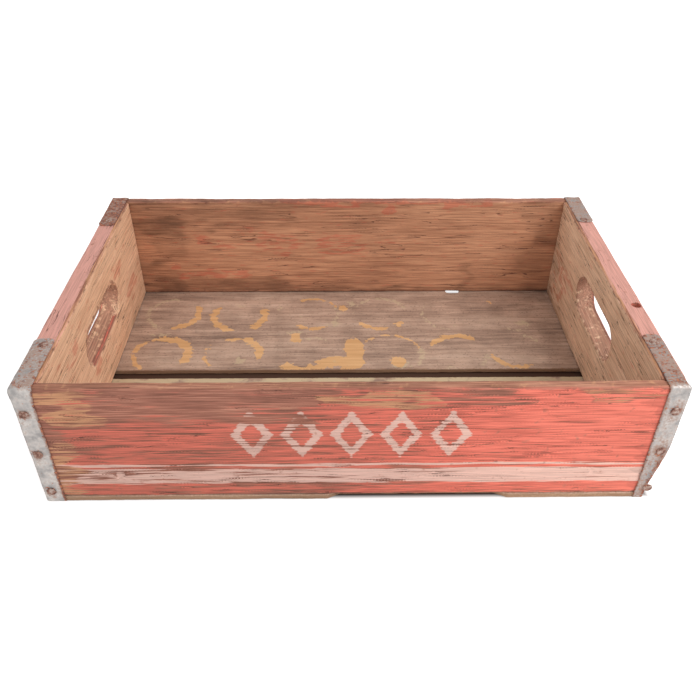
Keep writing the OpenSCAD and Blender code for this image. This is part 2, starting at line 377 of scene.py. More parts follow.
def net_points(loops, pitch):
    """A staggered net inside the loops, kept a little away from their edges."""
    low, high = np.min(loops[0], axis=0), np.max(loops[0], axis=0)
    rows = np.arange(low[1] + pitch[1] / 2, high[1], pitch[1])
    columns = np.arange(low[0] + pitch[0] / 2, high[0], pitch[0])
    u, v = np.meshgrid(columns, rows)
    u = u + (np.arange(len(rows)) % 2)[:, None] * pitch[0] / 2
    net = np.column_stack([u.ravel(), v.ravel()])
    net = net[is_inside(net, loops)]
    return net[gap_to(net, loops) > 0.75 * min(pitch[1], 1.4)]


def fill_face(loops, pitch):
    """Net points and triangles for one face. Triangle numbers count the loops' points first."""
    net = net_points(loops, pitch)
    edges = []
    start = 0
    for loop in loops:
        count = len(loop)
        edges += [(start + i, start + (i + 1) % count) for i in range(count)]
        start += count
    points = np.vstack([*loops, net])
    found = delaunay_2d_cdt([Vector(p) for p in points], edges, [], 1, 1e-7)
    if len(found[0]) != len(points):
        print("the outline crosses itself:", len(found[0]) - len(points), "points were added")
    source = np.array([origin[0] if origin else -1 for origin in found[3]])
    triangles = source[np.array(found[2])]
    if len(loops) > 1:
        triangles = triangles[~is_inside(points[triangles].mean(axis=1), loops[1:])]
    return net, triangles


# %% Build one board
ARRIS_STEPS = 4
WALL_PITCH = 1.7
EDGE_PITCH = 1.7


def ring_stack(loop, inward, near, far, arris_near, arris_far, lean):
    """Rings of (u, v, w) round the board's edge, from its near face to its far face. lean is how far a
    hole's wall drifts in v on the way."""
    angles = [math.pi / 2 * k / ARRIS_STEPS for k in range(ARRIS_STEPS + 1)]
    stack = [(arris_near * (1 - math.sin(a)), near + arris_near * (1 - math.cos(a))) for a in angles]
    wall_start, wall_end = near + arris_near, far - arris_far
    walls = max(1, round((far - near) / WALL_PITCH))
    flat = np.zeros_like(arris_near)
    stack += [(flat, wall_start + (wall_end - wall_start) * k / walls) for k in range(1, walls)]
    ends = [(arris_far * (1 - math.sin(a)), far - arris_far * (1 - math.cos(a))) for a in reversed(angles)]
    rings = []
    for inset, depth in stack + ends:
        ring = np.column_stack([loop + inward * inset[:, None], depth])
        ring[:, 1] += lean * ((depth - near) / (far - near) - 0.5)
        rings.append(ring)
    return rings


def build_board(name, order, near, far, loops, pitches, arris_near, arris_far, hole_lean=0.0):
    """A closed board. order names the frame's axes for u, v and w, and arris_... give each radius."""
    points, faces, edge_near, edge_far = [], [], [], []
    start = 0
    first_rings, last_rings = [], []
    for number, loop in enumerate(loops):
        lean = hole_lean if number else 0.0
        rings = ring_stack(loop, left_of(loop), near, far, arris_near(loop), arris_far(loop), lean)
        count = len(loop)
        here = np.arange(count)
        after = (here + 1) % count
        for k in range(len(rings) - 1):
            low, high = start + k * count, start + (k + 1) * count
            faces.append(np.column_stack([low + here, low + after, high + after, high + here]))
        edge_near.append(start + here)
        edge_far.append(start + (len(rings) - 1) * count + here)
        first_rings.append(rings[0][:, :2])
        last_rings.append(rings[-1][:, :2])
        points += rings
        start += len(rings) * count
    triangles = []
    for rings, edge, depth, pitch in (
            (first_rings, edge_near, near, pitches[0]), (last_rings, edge_far, far, pitches[1])):
        net, found = fill_face(rings, pitch)
        numbers = np.concatenate([*edge, start + np.arange(len(net))])
        triangles.append(numbers[found])
        points.append(np.column_stack([net, np.full(len(net), depth)]))
        start += len(net)
    place = np.vstack(points)
    polygons = np.vstack(faces).tolist() + np.vstack(triangles).tolist()
    print(f"{name}: {len(place)} points, {2 * len(np.vstack(faces)) + len(np.vstack(triangles))} triangles")
    return {"name": name, "order": order, "place": place, "faces": polygons, "loops": loops}


def close_up(mesh, marks):
    """Turns all faces outward, shades them smooth and stores the marks. Returns the open edges."""
    shell = bmesh.new()
    shell.from_mesh(mesh)
    bmesh.ops.recalc_face_normals(shell, faces=shell.faces[:])
    open_edges = sum(not edge.is_manifold for edge in shell.edges)
    shell.to_mesh(mesh)
    shell.free()
    mesh.shade_smooth()
    for name, values in marks.items():
        layer = mesh.attributes.new(name, "FLOAT", "POINT")
        layer.data.foreach_set("value", np.ravel(values).astype(np.float32))
    return open_edges


def board_object(board, marks, weather):
    """The board as an object in the frame, with its marks stored at its points."""
    axes = ["xyz".index(letter) for letter in board["order"]]
    place = np.empty_like(board["place"])
    place[:, axes] = board["place"] * MM
    mesh = bpy.data.meshes.new(board["name"])
    mesh.from_pydata(place.tolist(), [], board["faces"])
    open_edges = close_up(mesh, {**marks, "weather": weather})
    piece = bpy.data.objects.new(board["name"] + "_wood", mesh)
    scene.collection.objects.link(piece)
    print(f"{piece.name}: {open_edges} open edges")
    return piece


# %% [markdown]
# ## Weathered relief
# Rain and drying lift the hard lines of the grain and open cracks along it. Geometry Nodes do this to
# every board: one tree reads each point's place, looks up noise that is drawn out along the grain, and
# moves the point into the wood. Its depths are named inputs, set by their identifiers. The tree takes
# wood away only, and a value called weather on the mesh says where the board was sheltered.

# %% Grain shared by mesh and colour
def crack_lines(bench, place, width):
    """Thin broken lines along the grain: where a slow noise crosses its middle value."""
    wave = bench.grain(place, 85, 4.2, 4, detail=2.0, rough=0.5)
    off = bench.math("ABSOLUTE", bench.math("SUBTRACT", wave, 0.5))
    line = bench.step(off, 0.25 * width, width, 1.0, 0.0)
    where = bench.step(bench.grain(place, 45, 8, 5, detail=1.0), 0.47, 0.56)
    return bench.times(line, where)


def streak_field(bench, place):
    return bench.grain(place, 58, 2.3, 2, detail=4.0, rough=0.62)


# %% The relief tree
def relief_tree(run):
    tree = bpy.data.node_groups.new(f"weathered_relief_{run}", "GeometryNodeTree")
    tree.interface.new_socket("Geometry", in_out="INPUT", socket_type="NodeSocketGeometry")
    for name in ("Ridge Depth", "Crack Depth"):
        tree.interface.new_socket(name, in_out="INPUT", socket_type="NodeSocketFloat")
    tree.interface.new_socket("Finish", in_out="INPUT", socket_type="NodeSocketMaterial")
    tree.interface.new_socket("Geometry", in_out="OUTPUT", socket_type="NodeSocketGeometry")
    bench = Bench(tree, run)
    given = tree.nodes.new("NodeGroupInput").outputs
    place = bench.put("GeometryNodeInputPosition", {})
    normal = bench.put("GeometryNodeInputNormal", {})
    weather = bench.put("GeometryNodeInputNamedAttribute", {"Name": "weather"}, data_type="FLOAT")
    ridges = bench.step(streak_field(bench, place), 0.32, 0.62, 1.0, 0.0)
    sag = bench.step(bench.grain(place, 120, 17, 3, detail=1.0), 0.3, 0.7)
    ridges = bench.add(bench.times(ridges, 0.6), bench.times(sag, 0.4))
    depth = bench.add(
        bench.times(ridges, given["Ridge Depth"]),
        bench.times(crack_lines(bench, place, 0.03), given["Crack Depth"]))
    depth = bench.times(bench.times(depth, weather), -1.0)
    offset = bench.put("ShaderNodeVectorMath", {0: normal, "Scale": depth}, operation="SCALE")
    worn = bench.put("GeometryNodeSetPosition", {"Geometry": given["Geometry"], "Offset": offset})
    real = bench.put("GeometryNodeRealizeInstances", {"Geometry": worn})
    dressed = bench.put("GeometryNodeSetMaterial", {"Geometry": real, "Material": given["Finish"]})
    bench.tree.links.new(dressed, tree.nodes.new("NodeGroupOutput").inputs[0])
    return tree


def settle(piece, modifier):
    """Keeps what a modifier makes as the piece's plain mesh, and takes the modifier off."""
    graph = bpy.context.evaluated_depsgraph_get()
    plain = bpy.data.meshes.new_from_object(
        piece.evaluated_get(graph), preserve_all_data_layers=True, depsgraph=graph)
    piece.modifiers.remove(modifier)
    plain.name = piece.name
    piece.data = plain


def run_tree(piece, tree, values):
    """Runs a geometry tree on a piece and keeps its result as a plain mesh."""
    modifier = piece.modifiers.new(tree.name, "NODES")
    modifier.node_group = tree
    for item in tree.interface.items_tree:
        if item.in_out == "INPUT" and item.name in values:
            modifier[item.identifier] = values[item.name]
    settle(piece, modifier)


RELIEF = {run: relief_tree(run) for run in "xy"}
RIDGE_DEPTH = 0.32
CRACK_DEPTH = 0.55


def weather_board(piece, run, finish):
    values = {"Ridge Depth": RIDGE_DEPTH * MM, "Crack Depth": CRACK_DEPTH * MM, "Finish": finish}
    run_tree(piece, RELIEF[run], values)


# %% [markdown]
# ## Marks drawn on the mesh
# Where the paint has worn, where a wet bottle stood and where rust ran down are places, not noise. So are
# the corners and creases that get painted shade, and the front's right end, which gets a painted
# highlight. They could be drawn in a picture file, but a value stored at the mesh's own points needs no
# picture and moves with the board. Brushes made of soft bands and distances fill those values, and the
# materials then break their edges up with noise.

# %% Brushes
def smooth(value):
    value = np.clip(value, 0.0, 1.0)
    return value * value * (3 - 2 * value)


def band(value, low, high, soft):
    """1 between low and high, and 0 once it is soft beyond them."""
    return smooth((value - low) / soft + 1) * smooth((high - value) / soft + 1)


def drift(u, v, size, amount, seed):
    """Moves the places where marks are looked up, so that their edges wander."""
    moved = [amount * 2 * (rough(np.column_stack([u, 3 * v]), size, seed + k) - 0.5) for k in (0, 50)]
    return u + moved[0] * 1.6, v + moved[1] * 0.7


def patches(u, v, spots):
    """The sum of soft patches, each (u from, u to, v from, v to, softness, amount)."""
    total = np.zeros_like(u)
    u, v = drift(u, v, 28.0, 16.0, 1.0)
    for u_from, u_to, v_from, v_to, soft, amount in spots:
        total += amount * band(u, u_from, u_to, soft) * band(v, v_from, v_to, soft * 0.6)
    return total


def arc_mark(u, v, arcs):
    """How far inside the nearest arc each point lies. An arc is (u, v, radius, width, from, to)."""
    best = np.full_like(u, -50.0)
    for centre_u, centre_v, radius, width, start, end in arcs:
        du, dv = u - centre_u, v - centre_v
        angle = (np.degrees(np.arctan2(dv, du)) - start) % 360
        past = np.where(angle <= end - start, np.minimum(angle, end - start - angle), -np.minimum(
            angle - (end - start), 360 - angle))
        taper = smooth(past / 16 + 0.25)
        best = np.maximum(best, width / 2 * taper - np.abs(np.hypot(du, dv) - radius) - 2 * (taper <= 0))
    return best


def edge_wear(board, width):
    """1 at the board's edges and holes, falling to 0 over the width."""
    place = board["place"]
    return 1 - smooth(gap_to(place[:, :2], board["loops"]) / width)


# %% [markdown]
# ## Old paint on weathered wood
# From below, the finish is grey-brown wood with its fibres, patches of yellow undercoat, thin red paint
# and a white stripe. The wear follows the grain: paint stays in the soft lines and goes from the hard
# ones. So one streaky noise is compared with how much paint the place still has, and the answer picks
# the layer. The front is lined with a straight white band, a thin line above it and a row of lozenges,
# and the grain wears through them as it does through the red.

# %% Colours of the woods and paints
# The brightest red and the lighter white are a painted highlight, where the front is painted lit from the
# right. The darkest red is thin worn paint and also the painted shade towards the left.
RED_LIT = srgb(238, 128, 108)
RED = srgb(220, 112, 94)
RED_OLD = srgb(190, 104, 86)
DUSTY_PINK = srgb(214, 160, 146)
OCHRE = srgb(204, 150, 112)
WHITE_SHADED = srgb(212, 176, 162)
WHITE_LIT = srgb(238, 200, 184)
CRACK_DARK = srgb(92, 60, 50)
RAW_WOOD = srgb(206, 128, 88)
SMEAR_RED = srgb(204, 92, 74)
UNDER_PAINT = [srgb(118, 78, 65), srgb(162, 106, 88), srgb(190, 134, 112)]
SIDE_INSIDE = [srgb(160, 112, 86), srgb(192, 138, 106), srgb(210, 156, 122)]
LEFT_END_INSIDE = [srgb(226, 176, 140), srgb(242, 196, 160), srgb(248, 206, 172)]
RIGHT_END_INSIDE = [srgb(212, 172, 140), srgb(232, 194, 162), srgb(242, 208, 178)]


# %% Layers of a board
def bare_wood(bench, place, fields, tones):
    """Wood colour from its fibres, streaks and slow clouds."""
    cloud = bench.grain(place, 150, 30, 7, detail=2.0)
    value = bench.add(bench.times(fields["fibre"], 0.35), bench.times(fields["streak"], 0.35))
    value = bench.add(value, bench.times(cloud, 0.3))
    return bench.ramp(value, [(0.36, tones[0]), (0.5, tones[1]), (0.62, tones[2])])


def old_paint(bench, place, fields, under):
    """Red paint, ochre undercoat and white stripe over wood. Returns colour and paint cover."""
    wear = bench.add(bench.times(fields["streak"], 0.62), bench.times(fields["fibre"], 0.2))
    wear = bench.add(wear, bench.times(bench.grain(place, 110, 9, 8, detail=3.0), 0.18))
    left = bench.add(wear, bench.times(bench.mark("paint"), 0.1))
    cover = bench.step(left, 0.465, 0.515)
    ochre = bench.step(bench.add(wear, bench.times(bench.mark("ochre"), 0.14)), 0.56, 0.62)
    colour = bench.tint(bench.times(ochre, 0.85), under, OCHRE)
    # This tone mark is painted light, lighter towards the front's right end, plus random tone from the
    # fibres.
    paint_tone_and_light = bench.add(bench.mark("paint_tone_and_light"), bench.step(fields["fibre"], 0.35, 0.65, -0.25, 0.25))
    red = bench.ramp(paint_tone_and_light, [(0.0, RED_OLD), (0.5, RED), (1.0, RED_LIT)])
    red = bench.tint(bench.step(left, 0.5, 0.56, 0.6, 0.0), red, RED_OLD)
    red = bench.tint(bench.mark("faded"), red, DUSTY_PINK)
    colour = bench.tint(cover, colour, red)
    ragged = bench.add(bench.mark("stripe"), bench.step(fields["streak"], 0.3, 0.7, -1.3, 1.3))
    stripe = bench.times(bench.step(ragged, -0.3, 0.5), bench.step(left, 0.45, 0.5))
    # The white stripe is lighter where the front is painted lit and darker where painted shade falls.
    white = bench.tint(bench.mark("paint_tone_and_light"), WHITE_SHADED, WHITE_LIT)
    return bench.tint(bench.times(stripe, 0.92), colour, white), cover


def board_material(name, run, inside_tones):
    """The whole finish of a board: painted outside, bare inside, rubbed at its edges."""
    material, output = new_material(name)
    bench = Bench(material.node_tree, run)
    place = bench.put("ShaderNodeTexCoord", {}, output=3)
    fields = {"fibre": bench.grain(place, 30, 0.8, 1, detail=2.0), "streak": streak_field(bench, place)}
    crack = crack_lines(bench, place, 0.016)
    under = bare_wood(bench, place, fields, UNDER_PAINT)
    painted, cover = old_paint(bench, place, fields, under)
    inside = bare_wood(bench, place, fields, inside_tones)
    smear_noise = bench.grain(place, 14, 3.0, 11, detail=3.0)
    smear = bench.step(bench.add(bench.times(bench.mark("smear"), 0.3), smear_noise), 0.58, 0.74)
    inside = bench.tint(bench.times(smear, 0.42), inside, SMEAR_RED)
    inner = bench.mark("inner")
    colour = bench.tint(inner, painted, inside)
    rub_noise = bench.speck(place, 5, 12, detail=3.0)
    rub = bench.step(bench.add(bench.times(bench.mark("rim"), 0.35), rub_noise), 0.62, 0.8)
    colour = bench.tint(bench.times(rub, 0.7), colour, under)
    raw = bench.step(bench.add(bench.mark("raw"), rub_noise), 0.85, 1.05)
    colour = bench.tint(raw, colour, RAW_WOOD)
    colour = bench.dim(colour, bench.step(fields["fibre"], 0.3, 0.7, 0.86, 1.12))
    colour = bench.tint(bench.times(crack, 0.75), colour, CRACK_DARK)
    grit = bench.step(bench.speck(place, 1.6, 14, detail=2.0), 0.68, 0.76)
    colour = bench.tint(bench.times(grit, 0.35), colour, CRACK_DARK)
    # The stain mark darkens real stains and also paints shade into the crate's corners and creases.
    stain_noise = bench.grain(place, 30, 12, 13, detail=3.0)
    stain_and_shade = bench.times(bench.mark("stain_and_shade"), bench.step(stain_noise, 0.25, 0.75, 0.65, 1.35))
    colour = bench.dim(colour, bench.step(stain_and_shade, 0.0, 1.0, 1.0, 0.42))
    height = bench.add(bench.times(fields["fibre"], 0.35), bench.times(fields["streak"], 0.5))
    height = bench.add(height, bench.times(cover, 0.12))
    height = bench.add(height, bench.times(crack, -0.8))
    bump = bench.put("ShaderNodeBump", {"Strength": 0.55, "Distance": 0.5 * MM, "Height": height})
    sheen_off = bench.add(bench.times(cover, -0.12), bench.step(fields["streak"], 0.3, 0.7, 0.86, 0.74))
    inputs = {"Base Color": colour, "Roughness": sheen_off, "Normal": bump, "Specular IOR Level": 0.3}
    bench.tree.links.new(bench.put("ShaderNodeBsdfPrincipled", inputs), output.inputs["Surface"])
    return material


# %% [markdown]
# ## The two painted sides
# Each side is one 9 mm board over the whole length. Outside it is painted, inside it is bare and brown
# from use. Paint has gone most at the upper left of the front and is nearly whole at the right. The
# lowest right corner is broken away where the strap was torn.

# %% Outline and paint of a side board
SIDE_PITCH_OUTSIDE = (2.4, 0.62)
SIDE_PITCH_INSIDE = (3.2, 1.1)
CORNER_ROUND = 4.4
STRAP_INNER_EDGE = box_mm("strap_front_right")[0][0]


def arris_radius(middle, spread, seed, under_strap):
    """A radius that wanders along the edge, and is full where a strap bends round the wood."""
    def radius(loop):
        value = middle + spread * (2 * rough(loop, 23.0, seed) - 1)
        hidden = smooth((np.abs(loop[:, 0]) - STRAP_INNER_EDGE + 4) / 4)
        return value + (under_strap - value) * hidden
    return radius


def side_outline(low, high, right_chip):
    """The board's outline, seen from the front. right_chip breaks its lower right corner."""
    right = high[0]
    foot = [(right, low[2], CORNER_ROUND)]
    if right_chip:
        foot = [(right - 8.5, low[2], 3.4), (right - 4.5, low[2] + 13, 6), (right - 3, low[2] + 34, 6),
                (right, low[2] + 52, 6)]
    corners = [(low[0], low[2], CORNER_ROUND), *foot, (right, high[2], CORNER_ROUND),
               (low[0], high[2], CORNER_ROUND)]
    loop = cut_evenly(rounded(corners), EDGE_PITCH)
    inward = left_of(loop)
    worn = 0.9 * rough(loop, 31.0, 3.0) ** 2 + 0.35 * rough(loop, 5.0, 5.0)
    if right_chip:
        broken = smooth((loop[:, 0] - 224) / 6) * smooth((62 - loop[:, 1]) / 10)
        worn = worn + broken * 1.6 * rough(loop, 3.4, 8.0)
    return loop + inward * worn[:, None]


NO_STRIPE = 40.0
BAND_MIDDLE, BAND_HALF = 27.0, 7.5
PIN_MIDDLE, PIN_HALF = 38.5, 1.1
LOZENGE_ROW, LOZENGE_STEP, LOZENGE_COUNT = 69.0, 36.0, 5
LOZENGE_HALF = (15.5, 22.5)
LOZENGE_LINE = 5.6
LOZENGE_WIDE = 12.7


def stripe_distance(x, z):
    """How far inside the white band, the pinstripe or a lozenge each point lies, in mm."""
    broad = BAND_HALF - np.abs(z - BAND_MIDDLE)
    thin = PIN_HALF - np.abs(z - PIN_MIDDLE)
    best = np.maximum(broad, thin)
    for k in range(LOZENGE_COUNT):
        centre = (k - (LOZENGE_COUNT - 1) / 2) * LOZENGE_STEP
        slant = 1 - np.abs(x - centre) / LOZENGE_HALF[0] - np.abs(z - LOZENGE_ROW) / LOZENGE_HALF[1]
        inside = slant * LOZENGE_WIDE
        best = np.maximum(best, np.minimum(inside, LOZENGE_LINE - inside))
    return best


# %% Where the sides are worn
FRONT_WEAR = [
    (-220, -40, 86, 110, 16, -1.0), (-40, 120, 98, 112, 8, -0.8), (-235, -214, 0, 112, 12, -1.0),
    (-180, 40, 52, 84, 14, 0.1), (-190, -90, 2, 14, 8, 0.3), (-90, 60, 6, 18, 8, -0.35),
    (170, 212, 100, 112, 6, -0.9), (130, 205, 0, 12, 10, -0.5), (160, 200, 24, 44, 9, -0.45),
]
FRONT_OCHRE = [
    (-22, 65, 95, 107, 7, 1.0), (-205, -176, 82, 102, 8, 0.9), (172, 212, 102, 111, 6, 1.0),
    (-222, -205, 8, 60, 10, 0.8), (-216, -180, 104, 112, 8, 0.6), (166, 196, 26, 40, 8, 0.8),
]
FRONT_STAINS = [
    (-235, 235, 5, 8, 4, 0.3), (-130, -60, 98, 104, 8, 0.2), (-220, 60, 108, 112, 4, 0.25),
    (-235, -219, 5, 112, 3, 0.2), (216, 235, 5, 112, 2, 0.35),
]
# Real stains on the rear's inner face, with painted shade along its foot and in its left corner, and a
# painted shadow of the right end board in its right corner.
REAR_STAINS_AND_SHADE = [
    (-218, -60, 92, 112, 16, 0.32), (-196, -170, 44, 84, 12, 0.28), (-218, -150, 78, 90, 9, 0.35),
    (-218, -186, 0, 40, 16, 0.3), (-200, -70, 0, 20, 14, 0.4), (-60, 218, 0, 10, 8, 0.35),
    (196, 218, 0, 112, 16, 0.25), (30, 40, 34, 70, 6, 0.15), (120, 128, 10, 44, 6, 0.25),
]
REAR_SMEARS = [
    (-150, -120, 62, 70, 8, 0.55), (-98, -60, 58, 78, 9, 0.5), (-30, 12, 54, 72, 9, 0.5),
    (-178, -96, 26, 30, 6, 0.7), (20, 40, 62, 66, 5, 0.4), (-60, 150, 108, 112, 3, 1.0),
]


def front_marks(board):
    """Marks of the front board, from its worn upper left to its right end, which keeps more paint and is
    painted lighter, a painted highlight where the light falls from the right.
    """
    x, z, y = board["place"].T
    outer = box_mm("front_side_board")[0][1]
    # Lighter towards the right: painted light falling from the right onto the front.
    paint_tone_and_light = smooth((x + 60) / 260) * 0.75 + 0.12
    paint = 0.15 + 0.75 * smooth((x + 60) / 220) + patches(x, z, FRONT_WEAR)
    ochre = patches(x, z, FRONT_OCHRE)
    stain_and_shade = patches(x, z, FRONT_STAINS)
    inner = smooth((y - outer - 0.8) / 1.2)
    return {"paint": paint, "ochre": ochre, "paint_tone_and_light": paint_tone_and_light, "stain_and_shade": stain_and_shade * (1 - inner) + inner * 0.12,
            "stripe": stripe_distance(x, z) - NO_STRIPE * inner, "inner": inner, "rim": edge_wear(board, 3.0),
            "raw": smooth((x - 226) / 5) * smooth((62 - z) / 12)}


def rear_marks(board):
    """Marks of the rear board: its inner face is the one that shows most, stained by years of use.
    Its stain patches also paint shade along its foot and into its corners.
    """
    x, z, y = board["place"].T
    inner_face = box_mm("rear_side_board")[0][1]
    inner = 1 - smooth((y - inner_face - 6.4) / 1.2)
    stain_and_shade = patches(x, z, REAR_STAINS_AND_SHADE)
    smear = patches(x, z, REAR_SMEARS)
    paint = 0.35 - patches(x, z, [(-160, 160, 92, 112, 20, 0.9), (60, 210, 4, 20, 10, 0.6)])
    return {"paint": paint, "ochre": patches(x, z, [(40, 120, 88, 104, 9, 0.8)]),
            "paint_tone_and_light": np.full_like(x, 0.35), "stain_and_shade": stain_and_shade * inner + 0.1, "smear": smear, "inner": inner,
            "stripe": stripe_distance(-x, z) - NO_STRIPE * inner, "rim": edge_wear(board, 2.6)}


# %% Build the two sides
def gouge(board, spots, near_side):
    """Pushes small dents into one face. A spot is (u, v, half width, half height, depth)."""
    place = board["place"]
    face = place[:, 2].min() if near_side else place[:, 2].max()
    sign = 1 if near_side else -1
    for u, v, half_width, half_height, depth in spots:
        off = np.hypot((place[:, 0] - u) / half_width, (place[:, 1] - v) / half_height)
        place[:, 2] += sign * depth * smooth(1.4 - off) * (np.abs(place[:, 2] - face) < 1.5)


def make_side(node, marks, right_chip, dents, outside_near):
    low, high = box_mm(node)
    pitches = (SIDE_PITCH_OUTSIDE, SIDE_PITCH_INSIDE)
    outer, inner = arris_radius(1.7, 0.7, 2.0, 2.4), arris_radius(1.3, 0.6, 6.0, 2.4)
    if not outside_near:
        pitches, outer, inner = pitches[::-1], inner, outer
    loop = side_outline(low, high, right_chip)
    board = build_board(node, "xzy", low[1], high[1], [loop], pitches, outer, inner)
    found = marks(board)
    gouge(board, dents, outside_near)
    weather = 1 - 0.6 * found["inner"]
    return board_object(board, found, weather)


SIDE_MATERIAL = board_material("painted_side_board", "x", SIDE_INSIDE)
FRONT_DENTS = [(-174, 28, 3.6, 4.6, 1.1), (-142, 27, 0.8, 5.0, 0.5), (-108, 20, 2.4, 1.0, 0.4),
               (182, 30, 1.2, 4, 0.5)]
REAR_DENTS = [(60, 40, 6, 2, 0.8)]
front_side = make_side("front_side_board", front_marks, True, FRONT_DENTS, True)
rear_side = make_side("rear_side_board", rear_marks, False, REAR_DENTS, False)
for piece in (front_side, rear_side):
    weather_board(piece, "x", SIDE_MATERIAL)

# %% [markdown]
# ## The two ends
# The ends are twice as thick, because they carry the hand holes, the nails and the weight. Hands have
# rubbed the edges of the holes and the top edges. Outside they are painted like the sides, and the top
# edges keep a dusty pink film of that paint. The right one has a drilled peg hole in its top edge.

# %% Outline and paint of an end board
END_PITCH = (2.4, 0.85)
HOLE_LENGTH, HOLE_HEIGHT = 104.0, 34.0
HOLE_MIDDLE = (3.0, 64.9)
HOLE_ARRIS, HOLE_LIP = 0.9, 2.6


def end_loops(low, high, shift):
    """The outline of an end board and of its hand hole, which sits a little high or low by shift."""
    corners = [(low[1], low[2], 2.2), (high[1], low[2], 2.2), (high[1], high[2], 2.2), (low[1], high[2], 2.2)]
    outline = cut_evenly(rounded(corners), EDGE_PITCH)
    worn = 0.5 * rough(outline, 26.0, low[0]) ** 2 * smooth((outline[:, 1] - 60) / 30)
    outline = outline + left_of(outline) * worn[:, None]
    u, v = HOLE_MIDDLE
    v += shift
    a, b, r = HOLE_LENGTH / 2, HOLE_HEIGHT / 2, HOLE_HEIGHT / 2 - 0.01
    hole = rounded([(u - a, v - b, r), (u - a, v + b, r), (u + a, v + b, r), (u + a, v - b, r)])
    return [outline, cut_evenly(hole, EDGE_PITCH)]


def end_arris(edge, hole_lip, seed):
    """The arris of an end board. Round the hand hole it is small above and hole_lip below."""
    def radius(loop):
        if np.ptp(loop[:, 0]) > 150:
            value = edge
        else:
            value = HOLE_ARRIS + (hole_lip - HOLE_ARRIS) * smooth((HOLE_MIDDLE[1] - loop[:, 1]) / 10)
        return value * (0.75 + 0.5 * rough(loop, 19.0, seed))
    return radius


def end_marks(board, outer_x, inner_x, smears, stains_and_shade):
    """Marks of an end board: inner is 1 on the face that looks into the crate and in the hand hole."""
    y, z, x = board["place"].T
    depth = np.abs(x - outer_x) / abs(inner_x - outer_x)
    top = smooth((z - 110.0) / 1.4)
    in_hole = (np.abs(y - HOLE_MIDDLE[0]) < HOLE_LENGTH / 2 + 3) & (np.abs(z - HOLE_MIDDLE[1]) < 20)
    inner = np.maximum(smooth((depth - 0.9) / 0.08), in_hole * smooth((depth - 0.08) / 0.12)) * (1 - top)
    paint = 0.1 + 1.3 * top - patches(y, z, [(-60, 66, 38, 92, 12, 0.5), (-144, 144, 0, 16, 10, 0.5)])
    lip = top * smooth((depth - 0.72) / 0.2)
    return {"inner": inner, "paint": paint * (1 - lip) - lip, "ochre": lip * 0.9,
            "paint_tone_and_light": np.full_like(y, 0.45), "faded": top * 0.9, "smear": patches(y, z, smears),
            "stain_and_shade": patches(y, z, stains_and_shade), "stripe": np.full_like(y, -NO_STRIPE),
            "rim": edge_wear(board, 3.0) * (1 - 0.95 * top)}


LEFT_SMEARS = [(56, 72, 74, 84, 5, 0.7), (90, 116, 36, 50, 7, 0.75), (-46, -24, 32, 44, 7, 0.75),
               (-84, -68, 82, 90, 5, 0.6), (-120, -96, 20, 40, 6, 0.4)]
RIGHT_SMEARS = [(96, 106, 18, 60, 5, 0.7), (70, 84, 44, 62, 6, 0.6), (118, 126, 24, 72, 5, 0.5),
                (-120, -108, 22, 34, 5, 0.6)]
# These patches paint shade along each end board's foot and into its corners with the side boards.
LEFT_STAINS_AND_SHADE = [(-144, 144, 0, 12, 8, 0.2), (70, 144, 6, 50, 20, 0.3), (-144, -128, 0, 112, 8, 0.15)]
RIGHT_STAINS_AND_SHADE = [(-144, 144, 0, 10, 8, 0.2), (60, 144, 6, 60, 24, 0.25), (120, 144, 0, 112, 10, 0.2)]


# %% Build the two ends
def make_end(node, outside_near, finish, smears, stains_and_shade, hole_shift, hole_lean):
    low, high = box_mm(node)
    outer_x, inner_x = (low[0], high[0]) if outside_near else (high[0], low[0])
    arrises = end_arris(1.6, HOLE_ARRIS, 4.0), end_arris(2.0, HOLE_LIP, 9.0)
    near_arris, far_arris = arrises if outside_near else arrises[::-1]
    board = build_board(node, "yzx", low[0], high[0], end_loops(low, high, hole_shift),
                        (END_PITCH, END_PITCH), near_arris, far_arris, hole_lean)
    marks = end_marks(board, outer_x, inner_x, smears, stains_and_shade)
    piece = board_object(board, marks, 0.9 - 0.45 * marks["inner"])
    weather_board(piece, "y", finish)
    return piece


LEFT_MATERIAL = board_material("left_end_board", "y", LEFT_END_INSIDE)
RIGHT_MATERIAL = board_material("right_end_board", "y", RIGHT_END_INSIDE)
left_end = make_end("left_end_board", True, LEFT_MATERIAL, LEFT_SMEARS, LEFT_STAINS_AND_SHADE, -1.9, -4.8)
right_end = make_end("right_end_board", False, RIGHT_MATERIAL, RIGHT_SMEARS, RIGHT_STAINS_AND_SHADE, 1.2, 0.6)


# %% Drill the peg hole
PEG_PLACE = (229.4, -48.0)
PEG_RADIUS, PEG_DEPTH = 3.8, 25.0


def drill(piece, centre, radius, top, depth):
    """Cuts a blind round hole down into a piece."""
    tool_mesh = bpy.data.meshes.new("drill")
    shape = bmesh.new()
    bmesh.ops.create_cone(shape, cap_ends=True, segments=40, radius1=radius * MM, radius2=radius * MM,
                          depth=(depth + 4) * MM)
    shape.to_mesh(tool_mesh)
    shape.free()
    tool = bpy.data.objects.new("drill", tool_mesh)
    tool.location = Vector((*centre, top - depth + (depth + 4) / 2)) * MM
    scene.collection.objects.link(tool)
    bpy.context.view_layer.update()
    cut = piece.modifiers.new("peg hole", "BOOLEAN")
    cut.object = tool
    cut.solver = "EXACT"
    settle(piece, cut)
    bpy.data.objects.remove(tool)
    print("drilled", piece.name, len(piece.data.polygons), "faces")


drill(right_end, PEG_PLACE, PEG_RADIUS, box_mm("right_end_board")[1][2], PEG_DEPTH)
